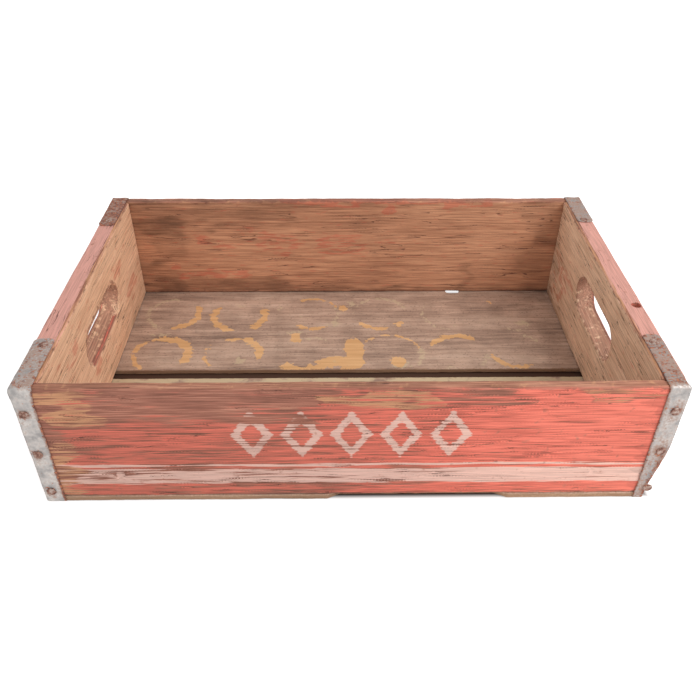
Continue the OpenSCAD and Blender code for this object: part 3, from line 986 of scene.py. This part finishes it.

# %% [markdown]
# ## The bottom boards
# Two thin boards close the bottom. Wet bottles stood on them for years: where their rims stood, the dark
# coat came off in rings and arcs and left ochre wood. Each ring is a listed arc, with its centre,
# radius, width and the angles between which it survived, because their broken places are what the eye
# knows them by. The rear board has a bite in its rear edge, and a strip is broken off the front one.

# %% Where the bottles stood
BOTTOM_PITCH_TOP = (2.0, 1.3)
BOTTOM_PITCH_UNDER = (3.6, 1.9)
YELLOW_ARCS = [
    (-180, 102, 26.0, 7.0, -86, 34), (-112, 98, 26.5, 7.0, 146, 262), (-112, 98, 26.5, 7.5, -62, 32),
    (-36, 102, 28.0, 5.0, 232, 300), (-36, 102, 27.0, 2.2, 24, 122), (34, 102, 28.0, 5.5, 216, 286),
    (-180, 31, 25.0, 9.5, -36, 112), (-180, 31, 27.0, 4.5, 112, 238), (-112, 31, 26.0, 8.5, -18, 74),
    (-112, 31, 25.0, 4.5, 74, 112), (-112, 31, 27.0, 2.8, 150, 222), (-36, 33, 27.5, 6.5, 212, 285),
    (40, 30, 31.0, 2.6, 20, 142), (108, 32, 28.0, 7.0, 46, 154), (165, 36, 27.0, 6.0, 196, 292),
]
PALE_ARCS = [
    (-180, 102, 27.0, 3.0, 84, 252), (-36, 102, 26.0, 2.0, -60, 24), (34, 102, 27.5, 2.4, 20, 150),
    (40, 30, 31.5, 4.0, -30, 22), (108, 32, 27.0, 2.4, -44, -6), (-36, 31, 26.0, 1.8, 60, 120),
    (165, 36, 27.0, 2.0, 20, 70), (106, 100, 28.0, 1.2, 150, 260), (172, 98, 28.0, 1.2, -110, -60),
]
YELLOW_SPOTS = [(-6, 111, 5, 5), (52, 82, 5, 4), (-52, 58, 6, 7), (6, 38, 10, 20), (-16, 18, 15, 8),
                (48, 18, 8, 8), (-32, 10, 14, 4), (2, 16, 14, 10), (152, 122, 3, 3), (-58, 9, 7, 4)]
PALE_SPOTS = [(-12, 83, 4, 4), (99, 7.5, 4, 1.4), (-188, 63, 7, 2.5), (-104, 20, 5, 5), (180, 82, 6, 4),
              (50, 12, 9, 4), (-52, 66, 6, 2), (-70, 110, 3, 3), (4, 120, 3, 5)]


def spot_mark(u, v, spots):
    """How far inside the nearest oval spot each point lies, in mm."""
    best = np.full_like(u, -50.0)
    for centre_u, centre_v, half_u, half_v in spots:
        off = np.hypot((u - centre_u) / half_u, (v - centre_v) / half_v)
        best = np.maximum(best, (1 - off) * min(half_u, half_v))
    return best


def bottom_marks(board, top):
    x, y, z = board["place"].T
    up = smooth((z - top + 1.2) / 0.6)
    yellow = np.maximum(arc_mark(x, y, YELLOW_ARCS), spot_mark(x, y, YELLOW_SPOTS))
    pale = np.maximum(arc_mark(x, y, PALE_ARCS), spot_mark(x, y, PALE_SPOTS))
    front_scuffs = smooth((-5.5 - y) / 1.0) * smooth((y + 20) / 8)
    # Painted shade along the rear wall and the left end, and a painted shadow beside the right end board.
    stain_and_shade = patches(x, y, [(196, 218, -140, 144, 16, 0.28), (-218, 218, 128, 144, 7, 0.25),
                           (-218, -206, -144, 144, 10, 0.2)])
    return {"yellow": yellow * up - 20 * (1 - up), "pale": pale * up - 20 * (1 - up), "coat": up,
            "scuff": front_scuffs * up, "stain_and_shade": stain_and_shade * up, "rim": edge_wear(board, 2.0)}


# %% The dark bottom finish
COAT = [srgb(130, 106, 92), srgb(184, 152, 132), srgb(206, 176, 155)]
UNDERSIDE = [srgb(112, 86, 68), srgb(156, 122, 96), srgb(186, 152, 122)]
RING_YELLOW = [srgb(214, 164, 112), srgb(232, 184, 132)]
RING_PALE = srgb(206, 184, 150)


def bottom_material():
    material, output = new_material("dark_bottom_board")
    bench = Bench(material.node_tree, "x")
    place = bench.put("ShaderNodeTexCoord", {}, output=3)
    fields = {"fibre": bench.grain(place, 26, 0.9, 21, detail=2.0),
              "streak": bench.grain(place, 90, 4.5, 22, detail=4.0)}
    coat = bare_wood(bench, place, fields, COAT)
    freckle = bench.speck(place, 1.7, 23, detail=2.0)
    coat = bench.tint(bench.step(freckle, 0.62, 0.72, 0.0, 0.45), coat, srgb(205, 178, 156))
    coat = bench.tint(bench.step(freckle, 0.3, 0.4, 0.45, 0.0), coat, srgb(92, 70, 60))
    smudge = bench.speck(place, 24, 24, detail=4.0, rough=0.6)
    coat = bench.dim(coat, bench.step(smudge, 0.3, 0.7, 0.86, 1.12))
    under = bare_wood(bench, place, fields, UNDERSIDE)
    colour = bench.tint(bench.mark("coat"), under, coat)
    ragged = bench.step(bench.speck(place, 3.4, 25, detail=4.0, rough=0.6), 0.25, 0.75, -3.4, 3.4)
    pale = bench.step(bench.add(bench.mark("pale"), ragged), -0.3, 0.7)
    colour = bench.tint(bench.times(pale, 0.6), colour, RING_PALE)
    ragged = bench.step(bench.speck(place, 6.5, 26, detail=4.0, rough=0.6), 0.25, 0.75, -2.6, 2.6)
    bare = bench.step(bench.add(bench.mark("yellow"), ragged), -0.25, 0.35)
    yellow = bench.tint(bench.step(fields["streak"], 0.35, 0.65), RING_YELLOW[0], RING_YELLOW[1])
    colour = bench.tint(bench.times(bare, 0.95), colour, yellow)
    scuffed = bench.step(bench.add(bench.times(bench.mark("scuff"), 0.3), smudge), 0.66, 0.8)
    colour = bench.tint(scuffed, colour, RING_PALE)
    rub = bench.step(bench.add(bench.times(bench.mark("rim"), 0.3), freckle), 0.66, 0.84)
    colour = bench.tint(bench.times(rub, 0.6), colour, UNDERSIDE[1])
    # This darkening is the painted shade and shadow of the stain mark.
    colour = bench.dim(colour, bench.step(bench.mark("stain_and_shade"), 0.0, 1.0, 1.0, 0.42))
    height = bench.add(bench.times(fields["fibre"], 0.3), bench.times(bare, -0.35))
    height = bench.add(height, bench.times(freckle, 0.4))
    bump = bench.put("ShaderNodeBump", {"Strength": 0.5, "Distance": 0.4 * MM, "Height": height})
    dull = bench.add(bench.step(smudge, 0.3, 0.7, 0.62, 0.78), bench.times(bare, 0.12))
    inputs = {"Base Color": colour, "Roughness": dull, "Normal": bump, "Specular IOR Level": 0.3}
    bench.tree.links.new(bench.put("ShaderNodeBsdfPrincipled", inputs), output.inputs["Surface"])
    return material


# %% Build the bottom boards
CHIP_FROM, CHIP_TO, CHIP_DEPTH, CHIP_SLOPE = -9.0, 112.0, 4.6, 9.2
BITE_MIDDLE, BITE_WIDTH, BITE_DEPTH = 115.0, 16.0, 11.0


def bottom_outline(low, high, notch):
    """A bottom board's outline, with the points of its broken place put into one long edge."""
    corners = [(low[0], low[1], 2.0)]
    if notch == "front":
        corners += [(CHIP_FROM - CHIP_SLOPE, low[1], 1.5), (CHIP_FROM, low[1] + CHIP_DEPTH, 2.0),
                    (CHIP_TO, low[1] + CHIP_DEPTH, 2.0), (CHIP_TO + CHIP_SLOPE, low[1], 1.5)]
    if notch == "front":
        corners += [(high[0] - 9.5, low[1], 2.0), (high[0] - 3.0, low[1] + 8.0, 3.0),
                    (high[0], low[1] + 22, 4.0)]
    else:
        corners += [(high[0], low[1], 2.0)]
    corners += [(high[0], high[1], 2.0)]
    if notch == "rear":
        side = BITE_WIDTH / 2
        corners += [(BITE_MIDDLE + side, high[1], 1.0), (BITE_MIDDLE + side - 1.5, high[1] - BITE_DEPTH, 2.4),
                    (BITE_MIDDLE - side + 1.5, high[1] - BITE_DEPTH, 2.4), (BITE_MIDDLE - side, high[1], 1.0)]
    corners += [(low[0], high[1], 2.0)]
    loop = cut_evenly(rounded(corners), 1.5)
    worn = 0.5 * rough(loop, 14.0, high[1]) ** 2 + 0.5 * rough(loop, 4.0, low[1]) ** 3
    return loop + left_of(loop) * worn[:, None]


BOTTOM_MATERIAL = bottom_material()
bottoms = []
for node, notch in (("front_bottom_board", "front"), ("rear_bottom_board", "rear")):
    low, high = box_mm(node)
    soft_edge = arris_radius(0.9, 0.4, 3.0, 0.9)
    board = build_board(node, "xyz", low[2], high[2], [bottom_outline(low, high, notch)],
                        (BOTTOM_PITCH_UNDER, BOTTOM_PITCH_TOP), soft_edge, soft_edge)
    piece = board_object(board, bottom_marks(board, high[2]), np.full(len(board["place"]), 0.35))
    weather_board(piece, "x", BOTTOM_MATERIAL)
    bottoms.append(piece)
front_bottom, rear_bottom = bottoms

# %% [markdown]
# ## Bent steel straps
# Each corner strap is a 15 mm band of galvanised steel. It starts as a short tab under the bottom, turns
# up the side board's face, and ends as a longer tab on top of the end board. A curve with a flat profile
# would give a perfect bend, but these were hammered on: their edges wander, they are pressed in round
# every nail, and one is crushed at its foot. So the band is laid point by point along its bent path.

# %% Lay a strap along its path
STRAP_PITCH = 1.1
ACROSS_STEPS = 14
TAB_ROUND = 4.0
BEND_TOP, BEND_FOOT = 3.3, 2.6
STEEL_THICK, FOOT_TAB = 0.9, 23.5


def strap_stations(path, tab_round):
    """Distances along the path: even steps, with closer ones at its rounded ends."""
    total = lengths_along(path)[-1]
    close = tab_round * (1 - np.cos(np.linspace(0, math.pi / 2, 8)))
    even = np.arange(tab_round + STRAP_PITCH, total - tab_round - STRAP_PITCH / 2, STRAP_PITCH)
    return np.concatenate([close, even, total - close[::-1]]), total


def strap_piece(node, tab_end, shape):
    """One strap. shape gives its edges, its pressed places and its rust."""
    low, high = box_mm(node)
    side_x = 1 if low[0] > 0 else -1
    side_y = 1 if low[1] > 0 else -1
    thick = STEEL_THICK
    face = max(abs(low[1]), abs(high[1])) - thick / 2
    inner_edge, outer_edge = sorted((abs(low[0]), abs(high[0])))
    foot_end = face - FOOT_TAB
    top = high[2] - thick / 2
    path = rounded([(foot_end, thick / 2, 0), (face, thick / 2, BEND_FOOT), (face, top, BEND_TOP),
                    (tab_end, top, 0)], closed=False)
    stations, total = strap_stations(path, TAB_ROUND)
    run = lengths_along(path)
    centre = np.column_stack([np.interp(stations, run, path[:, k]) for k in (0, 1)])
    along = np.gradient(centre, stations, axis=0)
    outward = np.column_stack([along[:, 1], -along[:, 0]])
    outward /= np.hypot(*outward.T)[:, None]
    to_end = np.minimum(stations, total - stations)
    inset = TAB_ROUND - np.sqrt(np.maximum(0, TAB_ROUND ** 2 - np.maximum(0, TAB_ROUND - to_end) ** 2))
    height = centre[:, 1]
    on_tab = smooth((face - centre[:, 0]) / 4) * (height > 50)
    wander = np.array([[noise.noise(Vector((s / 9, k * 5.0, low[0]))) for s in stations] for k in (0, 1)])
    edge_in, edge_out = shape["edges"](height, on_tab, inner_edge, outer_edge)
    edge_in = edge_in + inset + 0.25 * wander[0]
    edge_out = np.minimum(edge_out - inset + 0.25 * wander[1], outer_edge)
    share = np.linspace(0, 1, ACROSS_STEPS + 1)
    x = edge_in[:, None] + (edge_out - edge_in)[:, None] * share
    z = np.repeat(height[:, None], len(share), axis=1)
    q = np.repeat(centre[:, :1], len(share), axis=1)
    bulge = shape["press"](x, z, q, share[None])
    rim = np.minimum(share, 1 - share) * (outer_edge - inner_edge)
    half = thick / 2 * np.where(rim < 0.2, 0.45, 1.0)[None]
    layers = []
    for sign in (1, -1):
        move = bulge + sign * half
        layers.append(np.stack([side_x * x, side_y * (q + outward[:, :1] * move),
                                np.maximum(z + outward[:, 1:] * move, 0.0)], axis=2))
    place = np.concatenate([layers[0], layers[1][:, ::-1]], axis=1)
    rows, ring = place.shape[:2]
    faces = [(i * ring + j, (i + 1) * ring + j, (i + 1) * ring + (j + 1) % ring, i * ring + (j + 1) % ring)
             for i in range(rows - 1) for j in range(ring)]
    for i in (0, rows - 1):
        faces += [(i * ring + j, i * ring + j + 1, i * ring + ring - 2 - j, i * ring + ring - 1 - j)
                  for j in range(ACROSS_STEPS)]
    mesh = bpy.data.meshes.new(node)
    mesh.from_pydata((place.reshape(-1, 3) * MM).tolist(), [], faces)
    both = np.concatenate([share, share[::-1]])
    rust = shape["rust"](x, z, share[None], on_tab[:, None])
    values = {"across": np.repeat(both[None], rows, axis=0), "rust": np.hstack([rust, rust[:, ::-1]]),
              "tab": np.repeat(on_tab[:, None], ring, axis=1)}
    print(f"{node}: {close_up(mesh, values)} open edges, {len(faces)} faces")
    piece = bpy.data.objects.new(node + "_steel", mesh)
    scene.collection.objects.link(piece)
    return piece


# %% How each strap is worn
NAIL_HEIGHTS = (12.5, 51.45, 90.4)
NAIL_X = 229.0


def pressed(x, z, q, depth, reach):
    """The dish that each nail pulled into the strap's leg."""
    total = np.zeros_like(x)
    for height in NAIL_HEIGHTS:
        total -= depth * np.exp(-((x - NAIL_X) ** 2 + (z - height) ** 2) / reach ** 2) * (q > 150)
    return total


def plain_edges(flare):
    """Straight edges that spread by the flare at the top bend."""
    def edges(height, on_tab, inner_edge, outer_edge):
        near_bend = smooth(1 - np.abs(height - 112) / 14) * (1 - 0.7 * on_tab)
        return inner_edge - flare * near_bend, outer_edge - 0.5 + 0.5 * near_bend
    return edges


def crushed_edges(height, on_tab, inner_edge, outer_edge):
    """The front right strap: its outer edge is torn in below mid height, and its tab sits inward."""
    torn = smooth((62 - height) / 58)
    return inner_edge - 0.4 * on_tab, outer_edge - 7.5 * torn - 2.0 * on_tab


def plain_press(depth):
    def press(x, z, q, _share):
        return pressed(x, z, q, depth, 5.0) + 0.18 * np.sin(x * 0.5) * np.sin(z * 0.13 + q * 0.1)
    return press


def crushed_press(x, z, q, share):
    """A fold along the torn edge of the front right strap: a ridge with a crease beside it."""
    low = smooth((58 - z) / 20) * (q > 150) * smooth((z - 4) / 6)
    ridge = 0.8 * np.exp(-((share - 0.86) / 0.13) ** 2) - 0.45 * np.exp(-((share - 0.58) / 0.1) ** 2)
    dents = 0.25 * np.sin(z * 0.42) * np.sin(z * 0.17 + 1)
    return pressed(x, z, q, 0.35, 4.6) * (1 - 0.5 * low) + low * (ridge + dents * share)


def rust_map(edge, foot, tab):
    """How rusty each point is: along the inner edge, towards the foot and on the top tab."""
    def rust(x, z, share, on_tab):
        near_edge = smooth(1 - share / 0.16) * (edge + foot * smooth((60 - z) / 60)) * (1 - on_tab)
        nails = sum(np.exp(-((x - NAIL_X) ** 2 + (z - height) ** 2) / 22) for height in NAIL_HEIGHTS)
        return near_edge + tab * on_tab + 0.55 * nails * (1 - on_tab)
    return rust


def crushed_rust(x, z, share, on_tab):
    low = smooth((66 - z) / 30)
    return rust_map(0.4, 0.2, 0.45)(x, z, share, on_tab) + low * (0.2 + 0.5 * smooth((share - 0.6) / 0.3))


STRAPS = {
    "strap_front_left": (92.7, {"edges": plain_edges(1.6), "press": plain_press(0.5),
                                "rust": rust_map(0.75, 0.5, 0.4)}),
    "strap_front_right": (90.2, {"edges": crushed_edges, "press": crushed_press, "rust": crushed_rust}),
    "strap_rear_left": (91.2, {"edges": plain_edges(0.6), "press": plain_press(0.3),
                               "rust": rust_map(0.5, 0.4, 0.75)}),
    "strap_rear_right": (96.5, {"edges": plain_edges(0.3), "press": plain_press(0.3),
                                "rust": rust_map(0.4, 0.3, 0.3)}),
}
straps = {node: strap_piece(node, tab_end, shape) for node, (tab_end, shape) in STRAPS.items()}

# %% [markdown]
# ## Galvanised steel and rust
# Zinc dulls to a pale blue-grey with soft clouds, and where it has gone the steel rusts: first a brown
# film, then dark crust. One value on the mesh says how rusty a place is, and noise decides where the
# film breaks. Zinc is a metal and rust is not, so the metallic value follows the same mask.

# %% The steel material
ZINC = [srgb(150, 146, 144), srgb(182, 176, 172), srgb(206, 200, 194)]
BROWN_FILM = srgb(158, 124, 108)
CRUST = srgb(104, 60, 50)
ORANGE_RUST = srgb(186, 112, 76)


def steel_material(name, brown):
    """Galvanised steel. brown is how much of the film lies over all of it."""
    material, output = new_material(name)
    bench = Bench(material.node_tree)
    place = bench.put("ShaderNodeTexCoord", {}, output=3)
    cloud = bench.speck(place, 9, 31, detail=4.0, rough=0.6)
    fine = bench.speck(place, 1.6, 32, detail=3.0, rough=0.6)
    zinc = bench.ramp(cloud, [(0.35, ZINC[0]), (0.5, ZINC[1]), (0.65, ZINC[2])])
    rust = bench.mark("rust")
    film_noise = bench.add(bench.times(cloud, 0.6), bench.times(fine, 0.4))
    film = bench.step(bench.add(bench.add(film_noise, bench.times(rust, 0.3)), brown), 0.5, 0.72)
    crust_noise = bench.add(bench.times(bench.speck(place, 3.2, 33, detail=3.0), 0.6), bench.times(fine, 0.4))
    crust = bench.step(bench.add(crust_noise, bench.times(rust, 0.28)), 0.62, 0.72)
    colour = bench.tint(bench.times(film, 0.8), zinc, BROWN_FILM)
    crust_tone = bench.tint(bench.step(fine, 0.45, 0.65), CRUST, ORANGE_RUST)
    colour = bench.tint(bench.times(crust, 0.9), colour, crust_tone)
    metal = bench.step(bench.add(bench.times(film, 0.6), crust), 0.0, 1.0, 0.55, 0.0)
    dull = bench.step(bench.add(film, crust), 0.0, 1.4, 0.48, 0.85)
    height = bench.add(bench.times(fine, 0.5), bench.times(crust, 0.5))
    bump = bench.put("ShaderNodeBump", {"Strength": 0.5, "Distance": 0.35 * MM, "Height": height})
    inputs = {"Base Color": colour, "Metallic": metal, "Roughness": dull, "Normal": bump}
    bench.tree.links.new(bench.put("ShaderNodeBsdfPrincipled", inputs), output.inputs["Surface"])
    return material


STRAP_BROWN = {"strap_front_left": 0.0, "strap_front_right": 0.05, "strap_rear_left": 0.12,
               "strap_rear_right": 0.08}
for node, piece in straps.items():
    piece.data.materials.append(steel_material(node.replace("strap", "galvanised"), STRAP_BROWN[node]))

# %% [markdown]
# ## Nails
# There are forty-two nails in the crate, of two kinds: domed ones through the straps and small flat pins
# through the bottom. Geometry Nodes draw one nail from its sizes, put a copy on each point of a little
# mesh that marks where nails go, and tip and turn each copy a bit, with a fixed seed. The head is a ball
# whose height is raised to a power, which flattens its crown and rounds its rim.

# %% The nail tree
NAIL_SIZES = ("Head Diameter", "Head Height", "Shank Diameter", "Nail Length", "Crown", "Tilt")


def nail_tree():
    tree = bpy.data.node_groups.new("crate_nails", "GeometryNodeTree")
    tree.interface.new_socket("Geometry", in_out="INPUT", socket_type="NodeSocketGeometry")
    for name in NAIL_SIZES:
        tree.interface.new_socket(name, in_out="INPUT", socket_type="NodeSocketFloat")
    tree.interface.new_socket("Turn", in_out="INPUT", socket_type="NodeSocketVector")
    tree.interface.new_socket("Seed", in_out="INPUT", socket_type="NodeSocketInt")
    tree.interface.new_socket("Finish", in_out="INPUT", socket_type="NodeSocketMaterial")
    tree.interface.new_socket("Geometry", in_out="OUTPUT", socket_type="NodeSocketGeometry")
    bench = Bench(tree)
    given = tree.nodes.new("NodeGroupInput").outputs
    ball = bench.put("GeometryNodeMeshUVSphere", {"Segments": 28, "Rings": 18, "Radius": 1.0})
    place = bench.put("GeometryNodeInputPosition", {})
    parts = bench.put("ShaderNodeSeparateXYZ", {0: place}).node.outputs
    radius = bench.times(given["Head Diameter"], 0.5)
    crown = bench.math("POWER", bench.math("MAXIMUM", parts[2], 0.0), given["Crown"])
    below = bench.times(bench.math("MINIMUM", parts[2], 0.0), 0.3)
    high = bench.times(bench.add(crown, below), given["Head Height"])
    shaped = bench.put("ShaderNodeCombineXYZ", {
        0: bench.times(parts[0], radius), 1: bench.times(parts[1], radius), 2: high})
    head = bench.put("GeometryNodeSetPosition", {"Geometry": ball, "Position": shaped})
    shank = bench.put("GeometryNodeMeshCone", {
        "Vertices": 12, "Side Segments": 6, "Radius Top": bench.times(given["Shank Diameter"], 0.5),
        "Radius Bottom": bench.times(given["Shank Diameter"], 0.32), "Depth": given["Nail Length"]})
    drop = bench.put("ShaderNodeCombineXYZ", {2: bench.times(given["Nail Length"], -1.0)})
    shank = bench.put("GeometryNodeTransform", {"Geometry": shank, "Translation": drop})
    nail = bench.put("GeometryNodeJoinGeometry", {"Geometry": head})
    bench.tree.links.new(shank, nail.node.inputs["Geometry"])
    spread = bench.put("FunctionNodeRandomValue", {
        0: (-1.0, -1.0, -1.0), 1: (1.0, 1.0, 1.0), "Seed": given["Seed"]}, data_type="FLOAT_VECTOR")
    lean = bench.put("ShaderNodeVectorMath", {0: spread, "Scale": given["Tilt"]}, operation="SCALE")
    turned = bench.put("ShaderNodeVectorMath", {0: given["Turn"], 1: lean}, operation="ADD")
    copies = bench.put("GeometryNodeInstanceOnPoints", {
        "Points": given["Geometry"], "Instance": nail, "Rotation": turned})
    real = bench.put("GeometryNodeRealizeInstances", {"Geometry": copies})
    soft = bench.put("GeometryNodeSetShadeSmooth", {"Geometry": real})
    dressed = bench.put("GeometryNodeSetMaterial", {"Geometry": soft, "Material": given["Finish"]})
    bench.tree.links.new(dressed, tree.nodes.new("NodeGroupOutput").inputs[0])
    return tree


# %% Nail finish
NAIL_DARK = srgb(98, 62, 52)
NAIL_BROWN = srgb(150, 110, 94)
NAIL_GREY = srgb(178, 160, 150)


def nail_material():
    material, output = new_material("rusty_nail")
    bench = Bench(material.node_tree)
    place = bench.put("ShaderNodeTexCoord", {}, output=3)
    blotch = bench.speck(place, 3.0, 41, detail=4.0, rough=0.65)
    fine = bench.speck(place, 0.8, 42, detail=2.0)
    colour = bench.ramp(blotch, [(0.36, NAIL_DARK), (0.5, NAIL_BROWN), (0.62, NAIL_GREY)])
    colour = bench.dim(colour, bench.step(fine, 0.3, 0.7, 0.85, 1.12))
    metal = bench.step(blotch, 0.5, 0.65, 0.0, 0.5)
    dull = bench.step(blotch, 0.4, 0.65, 0.85, 0.5)
    bump = bench.put("ShaderNodeBump", {"Strength": 0.4, "Distance": 0.3 * MM, "Height": fine})
    inputs = {"Base Color": colour, "Metallic": metal, "Roughness": dull, "Normal": bump}
    bench.tree.links.new(bench.put("ShaderNodeBsdfPrincipled", inputs), output.inputs["Surface"])
    return material


# %% Put the nails in
NAILS = nail_tree()
NAIL_MATERIAL = nail_material()
QUARTER = math.pi / 2
STRAP_NAIL = {"Head Diameter": 7.0 * MM, "Head Height": 0.9 * MM, "Shank Diameter": 2.6 * MM,
              "Nail Length": 33 * MM, "Crown": 0.45, "Tilt": math.radians(1.2)}
TAB_NAIL = {**STRAP_NAIL, "Head Height": 0.85 * MM}
FLUSH_NAIL = {**STRAP_NAIL, "Head Height": 0.5 * MM, "Crown": 0.2, "Tilt": 0.0}
FLOOR_PIN = {"Head Diameter": 5.0 * MM, "Head Height": 0.35 * MM, "Shank Diameter": 2.2 * MM,
             "Nail Length": 22 * MM, "Crown": 0.2, "Tilt": 0.0}


def solid_boxes(node, axis):
    """The boxes of a node's separate nails, found by the gaps between them along one axis."""
    place = np.array([vertex.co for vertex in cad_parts[node].data.vertices]) / MM
    place = place[np.argsort(place[:, axis])]
    breaks = np.flatnonzero(np.diff(place[:, axis]) > 4.0) + 1
    return [(part.min(axis=0), part.max(axis=0)) for part in np.split(place, breaks)]


def put_nails(node, axis, outward, sizes, turn, seat, seed):
    """Nails for one node. outward is the axis and the sign of the way that their heads look."""
    way, sign = outward
    points = []
    for low, high in solid_boxes(node, axis):
        spot = (low + high) / 2
        spot[way] = seat
        points.append(spot * MM)
    mesh = bpy.data.meshes.new(node)
    mesh.from_pydata([tuple(point) for point in points], [], [])
    piece = bpy.data.objects.new(node + "_rusty", mesh)
    scene.collection.objects.link(piece)
    run_tree(piece, NAILS, {**sizes, "Turn": turn, "Seed": seed, "Finish": NAIL_MATERIAL})
    print(f"{piece.name}: {len(points)} nails, {len(piece.data.polygons)} faces")
    return piece


nails = {}
for k, corner in enumerate(("front_left", "front_right", "rear_left", "rear_right")):
    sign = -1 if corner.startswith("front") else 1
    leg = box_mm(f"strap_{corner}")
    face = sign * max(abs(leg[0][1]), abs(leg[1][1]))
    turn = (-sign * QUARTER, 0, 0)
    name = f"face_nails_{corner}"
    nails[name] = put_nails(name, 2, (1, sign), STRAP_NAIL, turn, face, 10 + k)
    name = f"top_nail_{corner}"
    nails[name] = put_nails(name, 0, (2, 1), TAB_NAIL, (0, 0, 0), leg[1][2], 20 + k)
    name = f"bottom_nail_{corner}"
    nails[name] = put_nails(name, 0, (2, -1), FLUSH_NAIL, (math.pi, 0, 0), 0.5, 30 + k)
for k, (side, axis) in enumerate((("left_end", 1), ("right_end", 1), ("front_side", 0), ("rear_side", 0))):
    name = f"floor_nails_{side}"
    seat = box_mm(name)[0][2] + 0.35
    nails[name] = put_nails(name, axis, (2, -1), FLOOR_PIN, (math.pi, 0, 0), seat, 40 + k)

# %% [markdown]
# ## The pieces on the body
# Every piece rides on the crate's one body and stands for its node, whose imported part is hidden. The
# two boxes, of the imported crate and of the dressed one, are written out to be compared.

# %% Ride and replace
PIECES = {
    "front_side_board": (front_side, "painted_side_board"),
    "rear_side_board": (rear_side, "painted_side_board"),
    "left_end_board": (left_end, "end_board"),
    "right_end_board": (right_end, "end_board"),
    "front_bottom_board": (front_bottom, "bottom_board"),
    "rear_bottom_board": (rear_bottom, "bottom_board"),
    **{node: (piece, "corner_strap") for node, piece in straps.items()},
    **{node: (piece, "nail") for node, piece in nails.items()},
}
for node, (piece, slot) in PIECES.items():
    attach(piece, "root")
    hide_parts(node)

dressed_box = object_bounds()
for label, (low, high) in (("packed ", cad_box), ("dressed", dressed_box)):
    print(label, [round(v / MM, 2) for v in low], [round(v / MM, 2) for v in high])
